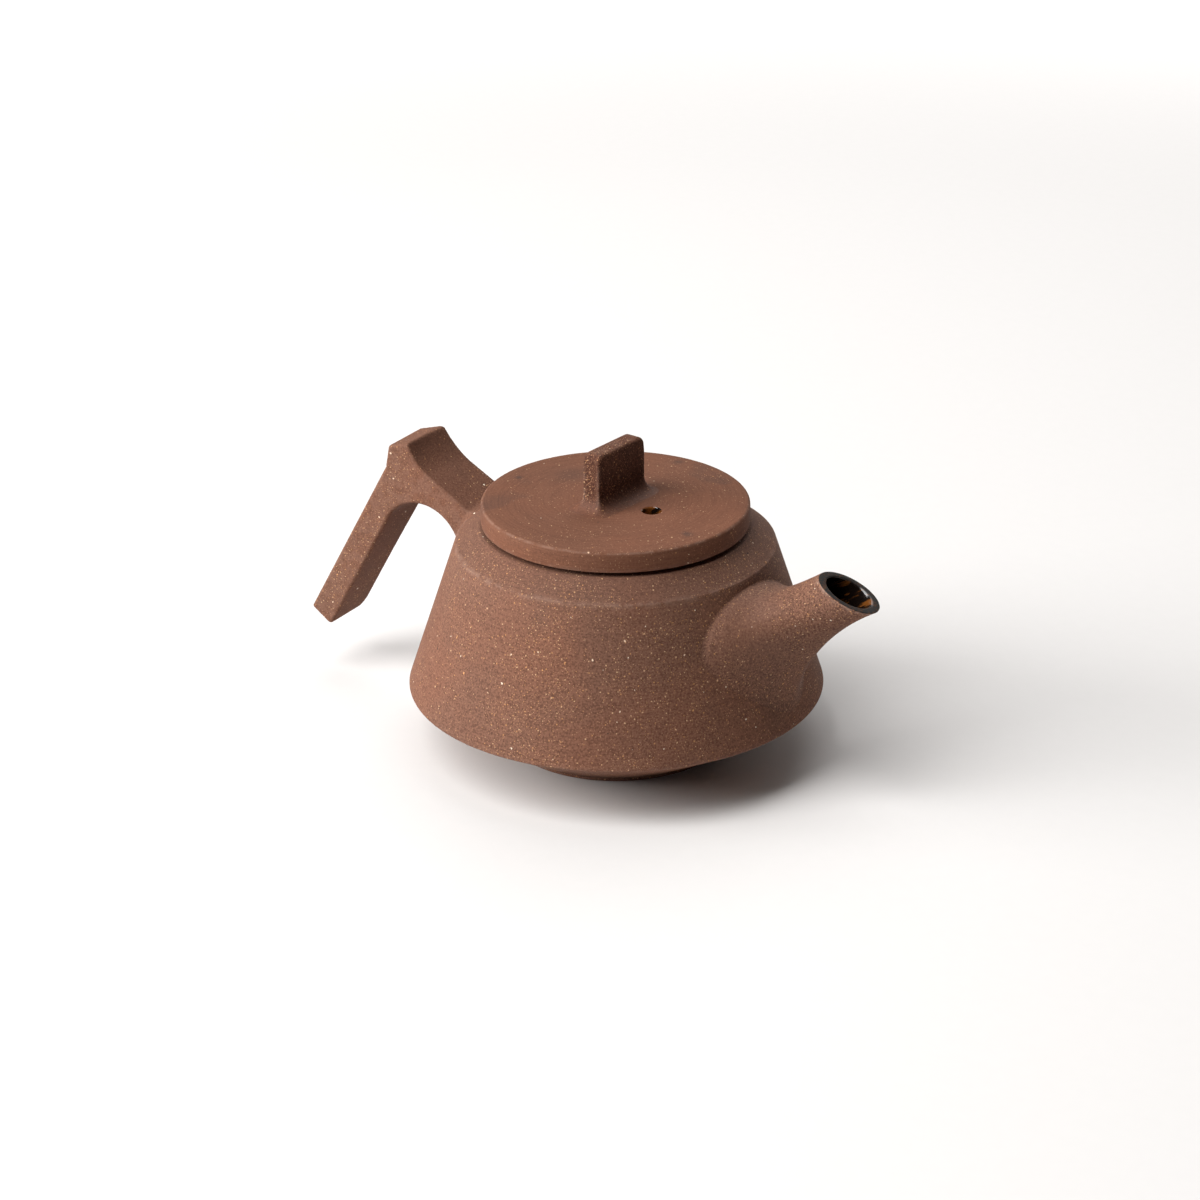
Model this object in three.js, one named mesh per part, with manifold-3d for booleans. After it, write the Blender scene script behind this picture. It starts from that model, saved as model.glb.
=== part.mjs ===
// Back-handle teapot of dark red stoneware, as the eight clay pieces that a potter forms:
// a lower bowl, a cone wall with its shoulder, a spout with a pierced strainer behind it,
// a carved back handle, and a lid of a plate, a locating flange and a slab knob.
// Millimetres and degrees. +Z is up, +X points to the spout, and the origin is the
// centre of the foot on the table.

import * as THREE from 'three';
import { mergeVertices } from 'three/addons/utils/BufferGeometryUtils.js';
import Module from 'manifold-3d';

const wasm = await Module();
wasm.setup();

// Body, from the mouth outwards and from the table upwards
const mouthRadius = 30.5;     // opening that the lid drops into
const seatWidth = 2.7;        // flat rim that carries the lid
const shoulderWidth = 7.9;    // from the rim out to the crease
const wallFlare = 12.9;       // from the crease out to the widest edge
const footRadius = 29.5;
const footStep = 1;           // how far the foot stands clear of the bowl
const bowlRise = 14.5;        // from the foot step up to the widest edge
const wallRise = 38.9;        // from the widest edge up to the crease
const shoulderRise = 5.7;     // from the crease up to the rim
const wallThickness = 3;
const floorThickness = 4;
const seatDepth = 3;          // straight part of the mouth under the rim
const jointWidth = 6;         // clay face where bowl and wall are joined
const knuckleRise = 7;        // how high the wall is thicker above that joint

// Lid
const lidThickness = 5.3;
const lidOverhang = 1.2;      // lower edge of the plate past the rim
const lidTaper = 0.1;         // how much smaller the plate is at its top
const lidEdge = 0.8;          // radius of its rounded top edge
const flangePlay = 0.5;       // running gap of the flange in the mouth
const flangeWall = 2.6;
const flangeDepth = 7;
const knobWidth = 18.9;
const knobThickness = 5.2;
const knobHeight = 15.1;
const knobCorner = 1.2;       // radius of the slab's upright and top edges
const knobFillet = 4.2;       // radius of the clay run round the slab's foot
const ventDiameter = 4.8;
const ventReach = 11.6;       // vent centre from the lid's centre, square to the knob
const lidTurn = 6.5;          // how far the lid sits turned on the pot, clockwise from above

// Spout
const spoutReach = 13.3;      // mouth centre past the widest edge
const spoutRise = 0.6;        // mouth centre above the crease
const spoutSlope = 32.5;      // rise of the tube where it ends
const mouthTilt = 23;         // how far the cut mouth faces outwards
const mouthLength = 17.2;     // along the slanted cut
const mouthWidth = 12.5;
const lipEnd = 2.7;           // clay at the two ends of the slanted cut
const lipSide = 1.9;          // clay at its sides
const tubeLength = 20;        // from the mouth back to the throat, along the spout's underside
const tubeTop = 16.5;         // the same along its top
const throatLength = 15.6;    // section there, along the same slant as the mouth
const throatWidth = 12.5;
const rootWidth = 46;         // of the flared root, measured round the wall
const rootDrop = 2.6;         // top of the root under the crease
const rootLift = 3.5;         // bottom of the root above the widest edge
const rootBelly = 22.5;       // height above the widest edge where the root is widest
const rootNarrow = 0.45;      // share of its width that the root loses down to its bottom
const rootHug = 0.34;         // share of the way to the opening that hugs the wall, below
const rootTopHug = 0.12;      // the same share at the top
const rootSideHug = 0.5;      // the same share sideways, below
const rootTopSideHug = 0.25;  // the same share sideways, at the top
const rootStance = 3.4;       // how far the flare leans off the wall at the top
const rootEdge = 0.5;         // thickness of the flare at its rim

// Strainer and the opening that it covers
const openingRadius = 10.5;
const openingLift = 0.5;      // its centre above the middle of the root
const boreRun = 8;            // how far the bore keeps the opening's direction
const strainerLap = 2.7;      // width of the ring that is luted round the opening
const strainerDepth = 9.5;    // how far the dome bulges into the pot
const strainerWall = 2;
const sieveDiameter = 1.8;
const sieveStep = 16;         // angle between the rings of holes on the dome
const sieveRings = 3;

// Handle, in side view: a block, an arm down to the shoulder and a grip
const handleWidth = 15.3;
const blockReach = 25.2;      // outer low corner of the block, out from the crease
const blockRise = 9;          // the same corner above the crease
const blockHeight = 6.3;
const blockLean = 11;         // outer face of the block off the upright
const blockLength = 6.7;
const blockTilt = 17;         // rise of the block's top towards the pot
const gripLength = 53.2;
const gripThickness = 7.5;
const gripSlope = 60.3;       // of the grip's faces above the horizontal
const gripCut = 6;            // end cut off square
const gripCorner = 1.5;       // radius of the grip's inner end corner
const gripToe = 5;            // radius of its end corner on the +Y side
const armSlope = 30.3;        // fall of the arm's top towards the pot
const armRise = 3.1;          // of the arm's top above the crease, at the crease
const armThickness = 7.8;
const archRadius = 12;        // hollow between arm and grip
const scoopLean = 15;         // inner face of the block off the upright
const scoopRadius = 4;        // hollow between block and arm
const scoopTwist = 6;         // slant of the arm's top across its width

// Fits
const luteGap = 0.3;          // slip seam between a luted piece and its neighbour

// Fineness of the round shapes
const turnSteps = 72;
const spoutSides = 32;
const spoutSteps = 14;
const cornerSteps = 3;
const arcSteps = 12;
const domeSides = 24;
const domeSteps = 7;
const sieveSides = 6;

// Worked-out levels and radii
const rimRadius = mouthRadius + seatWidth;
const creaseRadius = rimRadius + shoulderWidth;
const edgeRadius = creaseRadius + wallFlare;
const edgeHeight = footStep + bowlRise;
const creaseHeight = edgeHeight + wallRise;
const rimHeight = creaseHeight + shoulderRise;
const wallLean = Math.atan2(wallFlare, wallRise);
const wallNormal = new THREE.Vector3(Math.cos(wallLean), 0, Math.sin(wallLean));
const wallUp = new THREE.Vector3(-Math.sin(wallLean), 0, Math.cos(wallLean));

const clay = { color: 0x86604f, roughness: 0.85, metalness: 0 };
const glaze = { color: 0x241710, roughness: 0.25, metalness: 0 };

const radians = THREE.MathUtils.degToRad;

// Outer radius of the cone wall at a height.
function wallRadius(height) {
  return edgeRadius - (height - edgeHeight) * Math.tan(wallLean);
}

// A closed geometry as a solid: shared vertices merged, empty triangles dropped.
function toSolid(geometry) {
  const bare = geometry.clone();
  bare.deleteAttribute('normal');
  bare.deleteAttribute('uv');
  const merged = mergeVertices(bare);
  const corners = merged.index.array;
  const triangles = [];
  for (let i = 0; i < corners.length; i += 3) {
    const [a, b, c] = corners.slice(i, i + 3);
    if (a !== b && b !== c && c !== a) triangles.push(a, b, c);
  }
  return new wasm.Manifold(new wasm.Mesh({
    numProp: 3,
    vertProperties: new Float32Array(merged.attributes.position.array),
    triVerts: new Uint32Array(triangles),
  }));
}

// A solid as a named mesh of the scene.
function toMesh(name, solid, finish) {
  const { vertProperties, triVerts } = solid.getMesh();
  const geometry = new THREE.BufferGeometry();
  geometry.setAttribute('position', new THREE.BufferAttribute(vertProperties, 3));
  geometry.setIndex(new THREE.BufferAttribute(triVerts, 1));
  geometry.computeVertexNormals();
  const mesh = new THREE.Mesh(geometry, new THREE.MeshStandardMaterial(finish));
  mesh.name = name;
  return mesh;
}

// A profile of [radius, height] points turned round the Z axis. It runs up its outer
// side, and starts and ends on the axis or closes on itself.
function turn(profile, steps = turnSteps) {
  const points = profile.map(([r, z]) => new THREE.Vector2(r, z));
  const geometry = new THREE.LatheGeometry(points, steps);
  return toSolid(geometry.rotateX(Math.PI / 2));
}

// Rings of equal length skinned in order and capped at both ends. Each ring runs
// right-handed about the direction in which the rings are stacked.
function loft(rings) {
  const sides = rings[0].length;
  const points = rings.flat();
  const middle = (ring) => ring
    .reduce((sum, p) => sum.add(p), new THREE.Vector3())
    .divideScalar(sides);
  const start = points.length;
  const end = start + 1;
  points.push(middle(rings[0]), middle(rings[rings.length - 1]));
  const triangles = [];
  const top = (rings.length - 1) * sides;
  for (let i = 0; i < sides; i += 1) {
    const next = (i + 1) % sides;
    triangles.push(start, next, i, end, top + i, top + next);
    for (let row = 0; row < top; row += sides) {
      triangles.push(row + i, row + next, row + sides + i);
      triangles.push(row + next, row + sides + next, row + sides + i);
    }
  }
  const geometry = new THREE.BufferGeometry().setFromPoints(points);
  geometry.setIndex(triangles);
  return toSolid(geometry);
}

// A rod of given length, centred on a point and lying along a direction.
function rod(radius, length, centre, direction, sides) {
  const geometry = new THREE.CylinderGeometry(radius, radius, length, sides);
  const up = new THREE.Vector3(0, 1, 0);
  geometry.applyQuaternion(new THREE.Quaternion().setFromUnitVectors(up, direction));
  return toSolid(geometry.translate(centre.x, centre.y, centre.z));
}

// Where two lines in the [r, z] plane meet, each given by a point and a direction.
function meet([px, pz], [dx, dz], [qx, qz], [ex, ez]) {
  const along = ((qx - px) * ez - (qz - pz) * ex) / (dx * ez - dz * ex);
  return [px + along * dx, pz + along * dz];
}

// A chain of points moved sideways by a distance, to the right of its direction.
function shiftChain(chain, distance) {
  const lines = chain.slice(1).map(([x, z], i) => {
    const [fromX, fromZ] = chain[i];
    const length = Math.hypot(x - fromX, z - fromZ);
    const along = [(x - fromX) / length, (z - fromZ) / length];
    const side = [along[1] * distance, -along[0] * distance];
    return { from: [fromX + side[0], fromZ + side[1]], to: [x + side[0], z + side[1]], along };
  });
  const corners = lines.slice(1).map((line, i) => (
    meet(lines[i].from, lines[i].along, line.from, line.along)
  ));
  return [lines[0].from, ...corners, lines[lines.length - 1].to];
}

// The lower edge of the wall, its crease, and the flat rim.
const outerChain = [
  [edgeRadius, edgeHeight],
  [creaseRadius, creaseHeight],
  [rimRadius, rimHeight],
];

// The inside of the wall, from the joint with the bowl up to the rim.
function innerChain() {
  const innerFoot = [wallRadius(edgeHeight) - wallThickness / Math.cos(wallLean), edgeHeight];
  const wallLine = [-wallFlare, wallRise];
  const knuckle = meet(innerFoot, wallLine, [0, edgeHeight + knuckleRise], [1, 0]);
  const seatFoot = [mouthRadius, rimHeight - seatDepth];
  const shoulder = meet(innerFoot, wallLine, seatFoot, [shoulderWidth, -shoulderRise]);
  return [[edgeRadius - jointWidth, edgeHeight], knuckle, shoulder, seatFoot];
}

// The whole outside of the pot above its widest edge as a plug, grown by the slip seam.
function potPlug() {
  const chain = shiftChain(outerChain, luteGap);
  const below = edgeHeight - bowlRise;
  return turn([[0, below], [edgeRadius + luteGap, below], ...chain, [0, rimHeight + luteGap]]);
}

// The room inside the wall as a plug, shrunk by the slip seam.
function roomPlug() {
  const chain = shiftChain(innerChain(), -luteGap);
  return turn([[0, edgeHeight], ...chain, [0, rimHeight - seatDepth]]);
}

// Height of the centre of the spout's opening, about half way up the flared root.
const rootMiddle = (creaseHeight - rootDrop + edgeHeight + rootLift) / 2;
const openingHeight = rootMiddle + openingLift;
const openingCentre = new THREE.Vector3(wallRadius(openingHeight), 0, openingHeight);

function makeBodyWall() {
  const inside = innerChain();
  const profile = [...outerChain, [mouthRadius, rimHeight], ...inside.reverse(), outerChain[0]];
  const drill = rod(openingRadius, 6 * wallThickness, openingCentre, wallNormal, spoutSides);
  return turn(profile).subtract(drill);
}

function makeBaseBowl() {
  const jointEdge = [edgeRadius - jointWidth, edgeHeight];
  const slope = [edgeRadius - footRadius, bowlRise];
  const floorEdge = meet(jointEdge, slope, [0, floorThickness], [1, 0]);
  return turn([
    [0, 0],
    [footRadius, 0],
    [footRadius, footStep],
    [edgeRadius, edgeHeight],
    jointEdge,
    floorEdge,
    [0, floorThickness],
  ]);
}

// The slanted cut of the spout's mouth, as a ring with half length and half width.
const spoutMouth = new THREE.Vector3(edgeRadius + spoutReach, 0, creaseHeight + spoutRise);
const spoutAxis = new THREE.Vector3(
  Math.cos(radians(spoutSlope)),
  0,
  Math.sin(radians(spoutSlope)),
);
const mouthUp = new THREE.Vector3(
  -Math.cos(radians(mouthTilt)),
  0,
  Math.sin(radians(mouthTilt)),
);

function ringOf(sides, point) {
  return Array.from({ length: sides }, (_, i) => point((2 * Math.PI * i) / sides));
}

function mouthPoint(angle, halfLength, halfWidth) {
  const point = spoutMouth.clone().addScaledVector(mouthUp, halfLength * Math.cos(angle));
  point.y -= halfWidth * Math.sin(angle);
  return point;
}

// How much an angle round the spout belongs to its top, from 0 below to 1 at the top.
function topness(angle) {
  return THREE.MathUtils.smoothstep(0.65 + 0.65 * Math.cos(angle), 0, 1);
}

// A point of the root's outline on the wall, lifted off it, and the ways from there to the
// opening's centre, one level round the wall and one up or down it, and off the wall.
function rootPoint(angle, lift) {
  const belly = edgeHeight + rootBelly;
  const reach = Math.cos(angle) > 0
    ? creaseHeight - rootDrop - belly
    : belly - edgeHeight - rootLift;
  const height = belly + reach * Math.cos(angle);
  const radius = wallRadius(height) + lift;
  const width = rootWidth * (1 + rootNarrow * Math.min(Math.cos(angle), 0));
  const bearing = (-width * Math.sin(angle)) / (2 * wallRadius(belly));
  const outward = new THREE.Vector3(Math.cos(bearing), Math.sin(bearing), 0);
  const point = outward.clone().multiplyScalar(radius).setZ(height);
  const round = new THREE.Vector3(outward.y, -outward.x, 0).multiplyScalar(radius * bearing);
  const climb = outward.clone().multiplyScalar(-Math.tan(wallLean)).setZ(1)
    .multiplyScalar(openingHeight - height);
  const off = outward.clone().multiplyScalar(Math.cos(wallLean)).setZ(Math.sin(wallLean));
  return { point, round, climb, off };
}

// The line of the spout's skin from the root to the mouth, at an angle round the spout.
function skinLine(angle) {
  const { point, round, climb, off } = rootPoint(angle, luteGap + rootEdge);
  const top = topness(angle);
  const hug = point.clone()
    .addScaledVector(round, THREE.MathUtils.lerp(rootSideHug, rootTopSideHug, top))
    .addScaledVector(climb, THREE.MathUtils.lerp(rootHug, rootTopHug, top))
    .addScaledVector(off, rootStance * top);
  const throat = mouthPoint(angle, throatLength / 2, throatWidth / 2);
  throat.addScaledVector(spoutAxis, -THREE.MathUtils.lerp(tubeLength, tubeTop, top));
  const lip = mouthPoint(angle, mouthLength / 2, mouthWidth / 2);
  return new THREE.CubicBezierCurve3(point, hug, throat, lip);
}

// The line of the bore from the opening in the wall to the mouth.
function boreLine(angle) {
  const from = openingCentre.clone().addScaledVector(wallNormal, -wallThickness);
  from.addScaledVector(wallUp, openingRadius * Math.cos(angle));
  from.y -= openingRadius * Math.sin(angle);
  const lip = mouthPoint(angle, mouthLength / 2 - lipEnd, mouthWidth / 2 - lipSide);
  const behind = lip.clone().addScaledVector(spoutAxis, -tubeLength);
  const ahead = from.clone().addScaledVector(wallNormal, boreRun);
  return new THREE.CubicBezierCurve3(from, ahead, behind, lip);
}

function ringsAlong(lineAt) {
  const steps = Array.from({ length: spoutSteps + 1 }, (_, i) => i / spoutSteps);
  return steps.map((s) => ringOf(spoutSides, (angle) => lineAt(angle).getPoint(s)));
}

function makeSpout() {
  const buried = ringOf(spoutSides, (angle) => rootPoint(angle, -wallThickness).point);
  const skin = loft([buried, ...ringsAlong(skinLine)]);
  const bore = ringsAlong(boreLine);
  const past = bore[bore.length - 1].map((p) => p.clone().addScaledVector(spoutAxis, lipEnd));
  return skin.subtract(loft([...bore, past])).subtract(potPlug());
}

// A pierced dome over the opening, luted to the inside of the wall.
function makeStrainer() {
  const baseRadius = openingRadius + strainerLap;
  const dome = (baseRadius ** 2 + strainerDepth ** 2) / (2 * strainerDepth);
  const inner = dome - strainerWall;
  const arc = (radius, from, to) => Array.from({ length: domeSteps + 1 }, (_, i) => {
    const angle = from + ((to - from) * i) / domeSteps;
    return [radius * Math.sin(angle), -radius * Math.cos(angle)];
  });
  const shell = new THREE.LatheGeometry(
    [...arc(dome, 0, Math.PI / 2), ...arc(inner, Math.PI / 2, 0)]
      .map(([r, z]) => new THREE.Vector2(r, z)),
    domeSides,
  );
  const up = new THREE.Vector3(0, 1, 0);
  const centre = openingCentre.clone()
    .addScaledVector(wallNormal, dome - strainerDepth - wallThickness);
  shell.applyQuaternion(new THREE.Quaternion().setFromUnitVectors(up, wallNormal));
  shell.translate(centre.x, centre.y, centre.z);
  return sieveRods(centre, dome)
    .reduce((solid, hole) => solid.subtract(hole), toSolid(shell))
    .intersect(roomPlug());
}

// Rods for the strainer's holes: one at the pole and six more in each further ring.
function sieveRods(centre, dome) {
  const rods = [];
  for (let ring = 0; ring <= sieveRings; ring += 1) {
    const tilt = radians(sieveStep * ring);
    const count = Math.max(1, 6 * ring);
    for (let i = 0; i < count; i += 1) {
      const spin = (2 * Math.PI * i) / count;
      const direction = wallNormal.clone().multiplyScalar(-Math.cos(tilt))
        .addScaledVector(wallUp, Math.sin(tilt) * Math.cos(spin));
      direction.y += Math.sin(tilt) * Math.sin(spin);
      const middle = centre.clone().addScaledVector(direction, dome - strainerWall / 2);
      rods.push(rod(sieveDiameter / 2, 3 * strainerWall, middle, direction, sieveSides));
    }
  }
  return rods;
}

// Corners and lines of the handle's side view, in the [x, z] plane.
function handlePlan() {
  const step = ([x, z], angle, length) => [
    x + length * Math.cos(radians(angle)),
    z + length * Math.sin(radians(angle)),
  ];
  const blockLow = [-creaseRadius - blockReach, creaseHeight + blockRise];
  const blockOuter = step(blockLow, 90 - blockLean, blockHeight);
  const blockInner = step(blockOuter, blockTilt, blockLength);
  const gripEnd = step(blockLow, gripSlope + 180, gripLength);
  const gripWay = step([0, 0], gripSlope, 1);
  const armTop = [-creaseRadius, creaseHeight + armRise];
  const armWay = step([0, 0], -armSlope, 1);
  const innerFace = step(blockLow, gripSlope - 90, gripThickness);
  const archCentre = meet(
    step(innerFace, gripSlope - 90, archRadius),
    gripWay,
    step(armTop, -armSlope - 90, armThickness + archRadius),
    armWay,
  );
  const endCorner = meet(gripEnd, step([0, 0], gripSlope - 90 - gripCut, 1), innerFace, gripWay);
  return { step, blockLow, blockOuter, blockInner, gripEnd, armTop, archCentre, endCorner };
}

// A shape in the [x, z] plane made as thick as given, centred on the XZ plane.
function slab(shape, thickness) {
  const geometry = new THREE.ExtrudeGeometry(shape, {
    depth: thickness,
    bevelEnabled: false,
    curveSegments: arcSteps,
  });
  return toSolid(geometry.translate(0, 0, -thickness / 2).rotateX(Math.PI / 2));
}

// The blank of the handle with a solid corner between block and arm.
function handleBlank(plan) {
  const { step, blockLow, blockOuter, blockInner, gripEnd, armTop, archCentre, endCorner } = plan;
  const root = -creaseRadius + armThickness;
  const shape = new THREE.Shape();
  shape.moveTo(...blockLow);
  shape.lineTo(...gripEnd);
  shape.lineTo(...step(endCorner, gripSlope + 90 - gripCut, gripCorner));
  shape.quadraticCurveTo(...endCorner, ...step(endCorner, gripSlope, gripCorner));
  shape.absarc(...archCentre, archRadius, radians(gripSlope + 90), 0, true);
  shape.lineTo(root, archCentre[1]);
  shape.lineTo(root, blockInner[1]);
  shape.lineTo(...blockInner);
  shape.lineTo(...blockOuter);
  shape.closePath();
  return slab(shape, handleWidth);
}

// What the knife takes out over the arm: down the block's inner face, round the scoop
// and along the arm's top.
function handleScoop({ step, blockInner, armTop }) {
  const faceSlope = scoopLean - 90;
  const faceWay = step([0, 0], faceSlope, 1);
  const faceFoot = meet(blockInner, faceWay, armTop, step([0, 0], -armSlope, 1));
  const run = scoopRadius * Math.tan(radians((-armSlope - faceSlope) / 2));
  const faceEnd = step(faceFoot, faceSlope, -run);
  const above = step(blockInner, faceSlope, -blockHeight);
  const shape = new THREE.Shape();
  shape.moveTo(...above);
  shape.lineTo(...faceEnd);
  shape.absarc(
    ...step(faceEnd, faceSlope + 90, scoopRadius),
    scoopRadius,
    radians(faceSlope - 90),
    radians(-armSlope - 90),
    false,
  );
  shape.lineTo(...step(armTop, -armSlope, armThickness * 2));
  shape.lineTo(0, above[1]);
  shape.closePath();
  return slab(shape, handleWidth * 2)
    .translate([0, 0, -armTop[1]])
    .rotate([scoopTwist, 0, 0])
    .translate([0, 0, armTop[1]]);
}

// What rounds the corner of the grip's end on the +Y side.
function handleToe({ gripEnd }) {
  const side = handleWidth / 2;
  const shape = new THREE.Shape();
  shape.moveTo(-gripToe, side - gripToe);
  shape.lineTo(0, side - gripToe);
  shape.absarc(gripToe, side - gripToe, gripToe, Math.PI, Math.PI / 2, true);
  shape.lineTo(gripToe, side + gripToe);
  shape.lineTo(-gripToe, side + gripToe);
  shape.closePath();
  return slab(shape, 4 * gripThickness)
    .rotate([-90, gripCut - gripSlope, 0])
    .translate([gripEnd[0], 0, gripEnd[1]]);
}

function makeHandle() {
  const plan = handlePlan();
  return handleBlank(plan)
    .subtract(handleScoop(plan))
    .subtract(handleToe(plan))
    .subtract(potPlug());
}

function makeLidPlate() {
  const bottom = rimRadius + lidOverhang;
  const top = rimHeight + lidThickness;
  const bend = Array.from({ length: cornerSteps + 1 }, (_, i) => {
    const angle = (Math.PI / 2) * (i / cornerSteps);
    const across = bottom - lidTaper - lidEdge * (1 - Math.cos(angle));
    return [across, top - lidEdge * (1 - Math.sin(angle))];
  });
  const plate = turn([[0, rimHeight], [bottom, rimHeight], ...bend, [0, top]]);
  const ventCentre = new THREE.Vector3(ventReach, 0, (rimHeight + top) / 2);
  const upright = new THREE.Vector3(0, 0, 1);
  const drill = rod(ventDiameter / 2, 3 * lidThickness, ventCentre, upright, 2 * arcSteps);
  return plate.subtract(drill);
}

function makeLidFlange() {
  const outer = mouthRadius - flangePlay;
  const low = rimHeight - flangeDepth;
  const corner = [outer - flangeWall, low];
  return turn([
    corner,
    [outer, low],
    [outer, rimHeight],
    [outer - flangeWall, rimHeight],
    corner,
  ]);
}

// A level rectangle with round corners, drawn in from the knob's faces by an inset.
function knobRing(height, inset) {
  const corner = Math.max(knobCorner - inset, 0.1 * knobCorner);
  const alongX = knobThickness / 2 - inset - corner;
  const alongY = knobWidth / 2 - inset - corner;
  const quarters = [[1, 1], [-1, 1], [-1, -1], [1, -1]];
  return quarters.flatMap(([sx, sy], quarter) => (
    Array.from({ length: cornerSteps + 1 }, (_, i) => {
      const angle = (Math.PI / 2) * (quarter + i / cornerSteps);
      return new THREE.Vector3(
        sx * alongX + corner * Math.cos(angle),
        sy * alongY + corner * Math.sin(angle),
        height,
      );
    })
  ));
}

function makeLidKnob() {
  const base = rimHeight + lidThickness;
  const top = base + knobHeight;
  const quarter = Array.from({ length: cornerSteps + 1 }, (_, i) => (
    (Math.PI / 2) * (i / cornerSteps)
  ));
  const foot = quarter.map((angle) => knobRing(
    base + knobFillet * (1 - Math.cos(angle)),
    -knobFillet * (1 - Math.sin(angle)),
  ));
  const crown = quarter.map((angle) => knobRing(
    top - knobCorner * (1 - Math.sin(angle)),
    knobCorner * (1 - Math.cos(angle)),
  ));
  return loft([...foot, ...crown]);
}

const pot = new THREE.Group();
pot.add(
  toMesh('body_wall', makeBodyWall(), clay),
  toMesh('base_bowl', makeBaseBowl(), clay),
  toMesh('spout', makeSpout(), clay),
  toMesh('strainer', makeStrainer(), glaze),
  toMesh('handle', makeHandle(), clay),
);

const lid = new THREE.Group();
lid.add(
  toMesh('lid_plate', makeLidPlate(), clay),
  toMesh('lid_flange', makeLidFlange(), glaze),
  toMesh('lid_knob', makeLidKnob(), clay),
);
lid.rotation.z = -radians(lidTurn);

const teapot = new THREE.Group();
teapot.add(pot, lid);

export default teapot;
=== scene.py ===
"""A back-handle teapot of dark red stoneware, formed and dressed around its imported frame.

Sizes are in millimetres, and become metres when a skin is made into a piece.
"""
import logging
import math
from dataclasses import dataclass, field
from enum import Enum
from typing import Callable, ClassVar

import bpy
import numpy as np
from mathutils import Matrix, Vector


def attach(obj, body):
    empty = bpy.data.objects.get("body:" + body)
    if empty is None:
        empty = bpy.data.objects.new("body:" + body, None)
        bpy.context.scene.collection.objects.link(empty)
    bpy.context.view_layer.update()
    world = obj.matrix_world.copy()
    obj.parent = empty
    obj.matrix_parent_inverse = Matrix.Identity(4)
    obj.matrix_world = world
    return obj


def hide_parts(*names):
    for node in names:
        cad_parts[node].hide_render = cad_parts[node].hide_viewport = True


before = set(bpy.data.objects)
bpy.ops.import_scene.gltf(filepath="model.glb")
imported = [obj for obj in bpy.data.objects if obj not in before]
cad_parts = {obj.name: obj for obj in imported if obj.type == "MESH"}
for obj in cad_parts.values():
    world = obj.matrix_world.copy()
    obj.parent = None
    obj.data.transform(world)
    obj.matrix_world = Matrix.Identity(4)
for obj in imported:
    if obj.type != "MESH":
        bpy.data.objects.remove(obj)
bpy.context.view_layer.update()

Colour = tuple[float, float, float]
Corner = tuple[float, float, float]
Distance = Callable[[np.ndarray], np.ndarray]
Socket = bpy.types.NodeSocket

LOG = logging.getLogger("teapot")
MM = 0.001  # metres in a millimetre
ARC_STEP = 0.26  # widest turn from point to point of a rounded corner, in radians
SHARP_EDGE = 40.0  # degrees between faces from which a drilled edge looks sharp
TUCK = 0.04  # how deep luted clay is pressed into the wall
SIDEWAYS = np.array([0.0, 1.0, 0.0])
WHITE: Colour = (1.0, 1.0, 1.0)
COLOUR_MIX = (0, 6, 7, 2)  # the Mix node's share, both colours, and its result
NUMBER_MIX = (0, 2, 3, 0)  # the same for plain numbers


class Trait(Enum):
    """What a skin says about each of its points."""

    WORN = "worn"
    GLAZED = "glazed"
    DULL = "dull"
    # Sooty smudges, and the painted shade over the pot's shoulder.
    SMUDGE_AND_SHADE = "smudged_and_shaded"
    SMOOTH = "smooth"


class Slot(Enum):
    """The record's material slots."""

    CLAY = "clay"
    GLAZE = "glaze"


class Body(Enum):
    """The two bodies that pieces ride on."""

    POT = "pot"
    LID = "lid"


# Skins and how they are formed


@dataclass
class Skin:
    """A closed mesh in the making.

    Attributes:
        points: corners in millimetres, one row each.
        faces: corner numbers of each face, counter-clockwise seen from outside.
    """

    points: np.ndarray
    faces: list[tuple[int, ...]]

    def turned(self, degrees: float) -> "Skin":
        """Turns the skin about the upright axis.

        Args:
            degrees: counter-clockwise turn, seen from above.

        Returns:
            The turned skin.
        """
        return Skin(turn_level(self.points, degrees), self.faces)

    def piece(self, name: str) -> bpy.types.Object:
        """Makes the skin into an object with smooth shading.

        Args:
            name: name of the object.

        Returns:
            The object, linked to the scene.
        """
        mesh = bpy.data.meshes.new(name)
        mesh.from_pydata((self.points * MM).tolist(), [], self.faces)
        mesh.validate()
        mesh.shade_smooth()
        piece = bpy.data.objects.new(name, mesh)
        bpy.context.scene.collection.objects.link(piece)
        return piece


def turn_level(points: np.ndarray, degrees: float) -> np.ndarray:
    """Turns points about the upright axis.

    Args:
        points: one row each.
        degrees: counter-clockwise turn, seen from above.

    Returns:
        The turned points.
    """
    turn = Matrix.Rotation(math.radians(degrees), 3, "Z")
    return points @ np.array(turn).T


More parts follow.
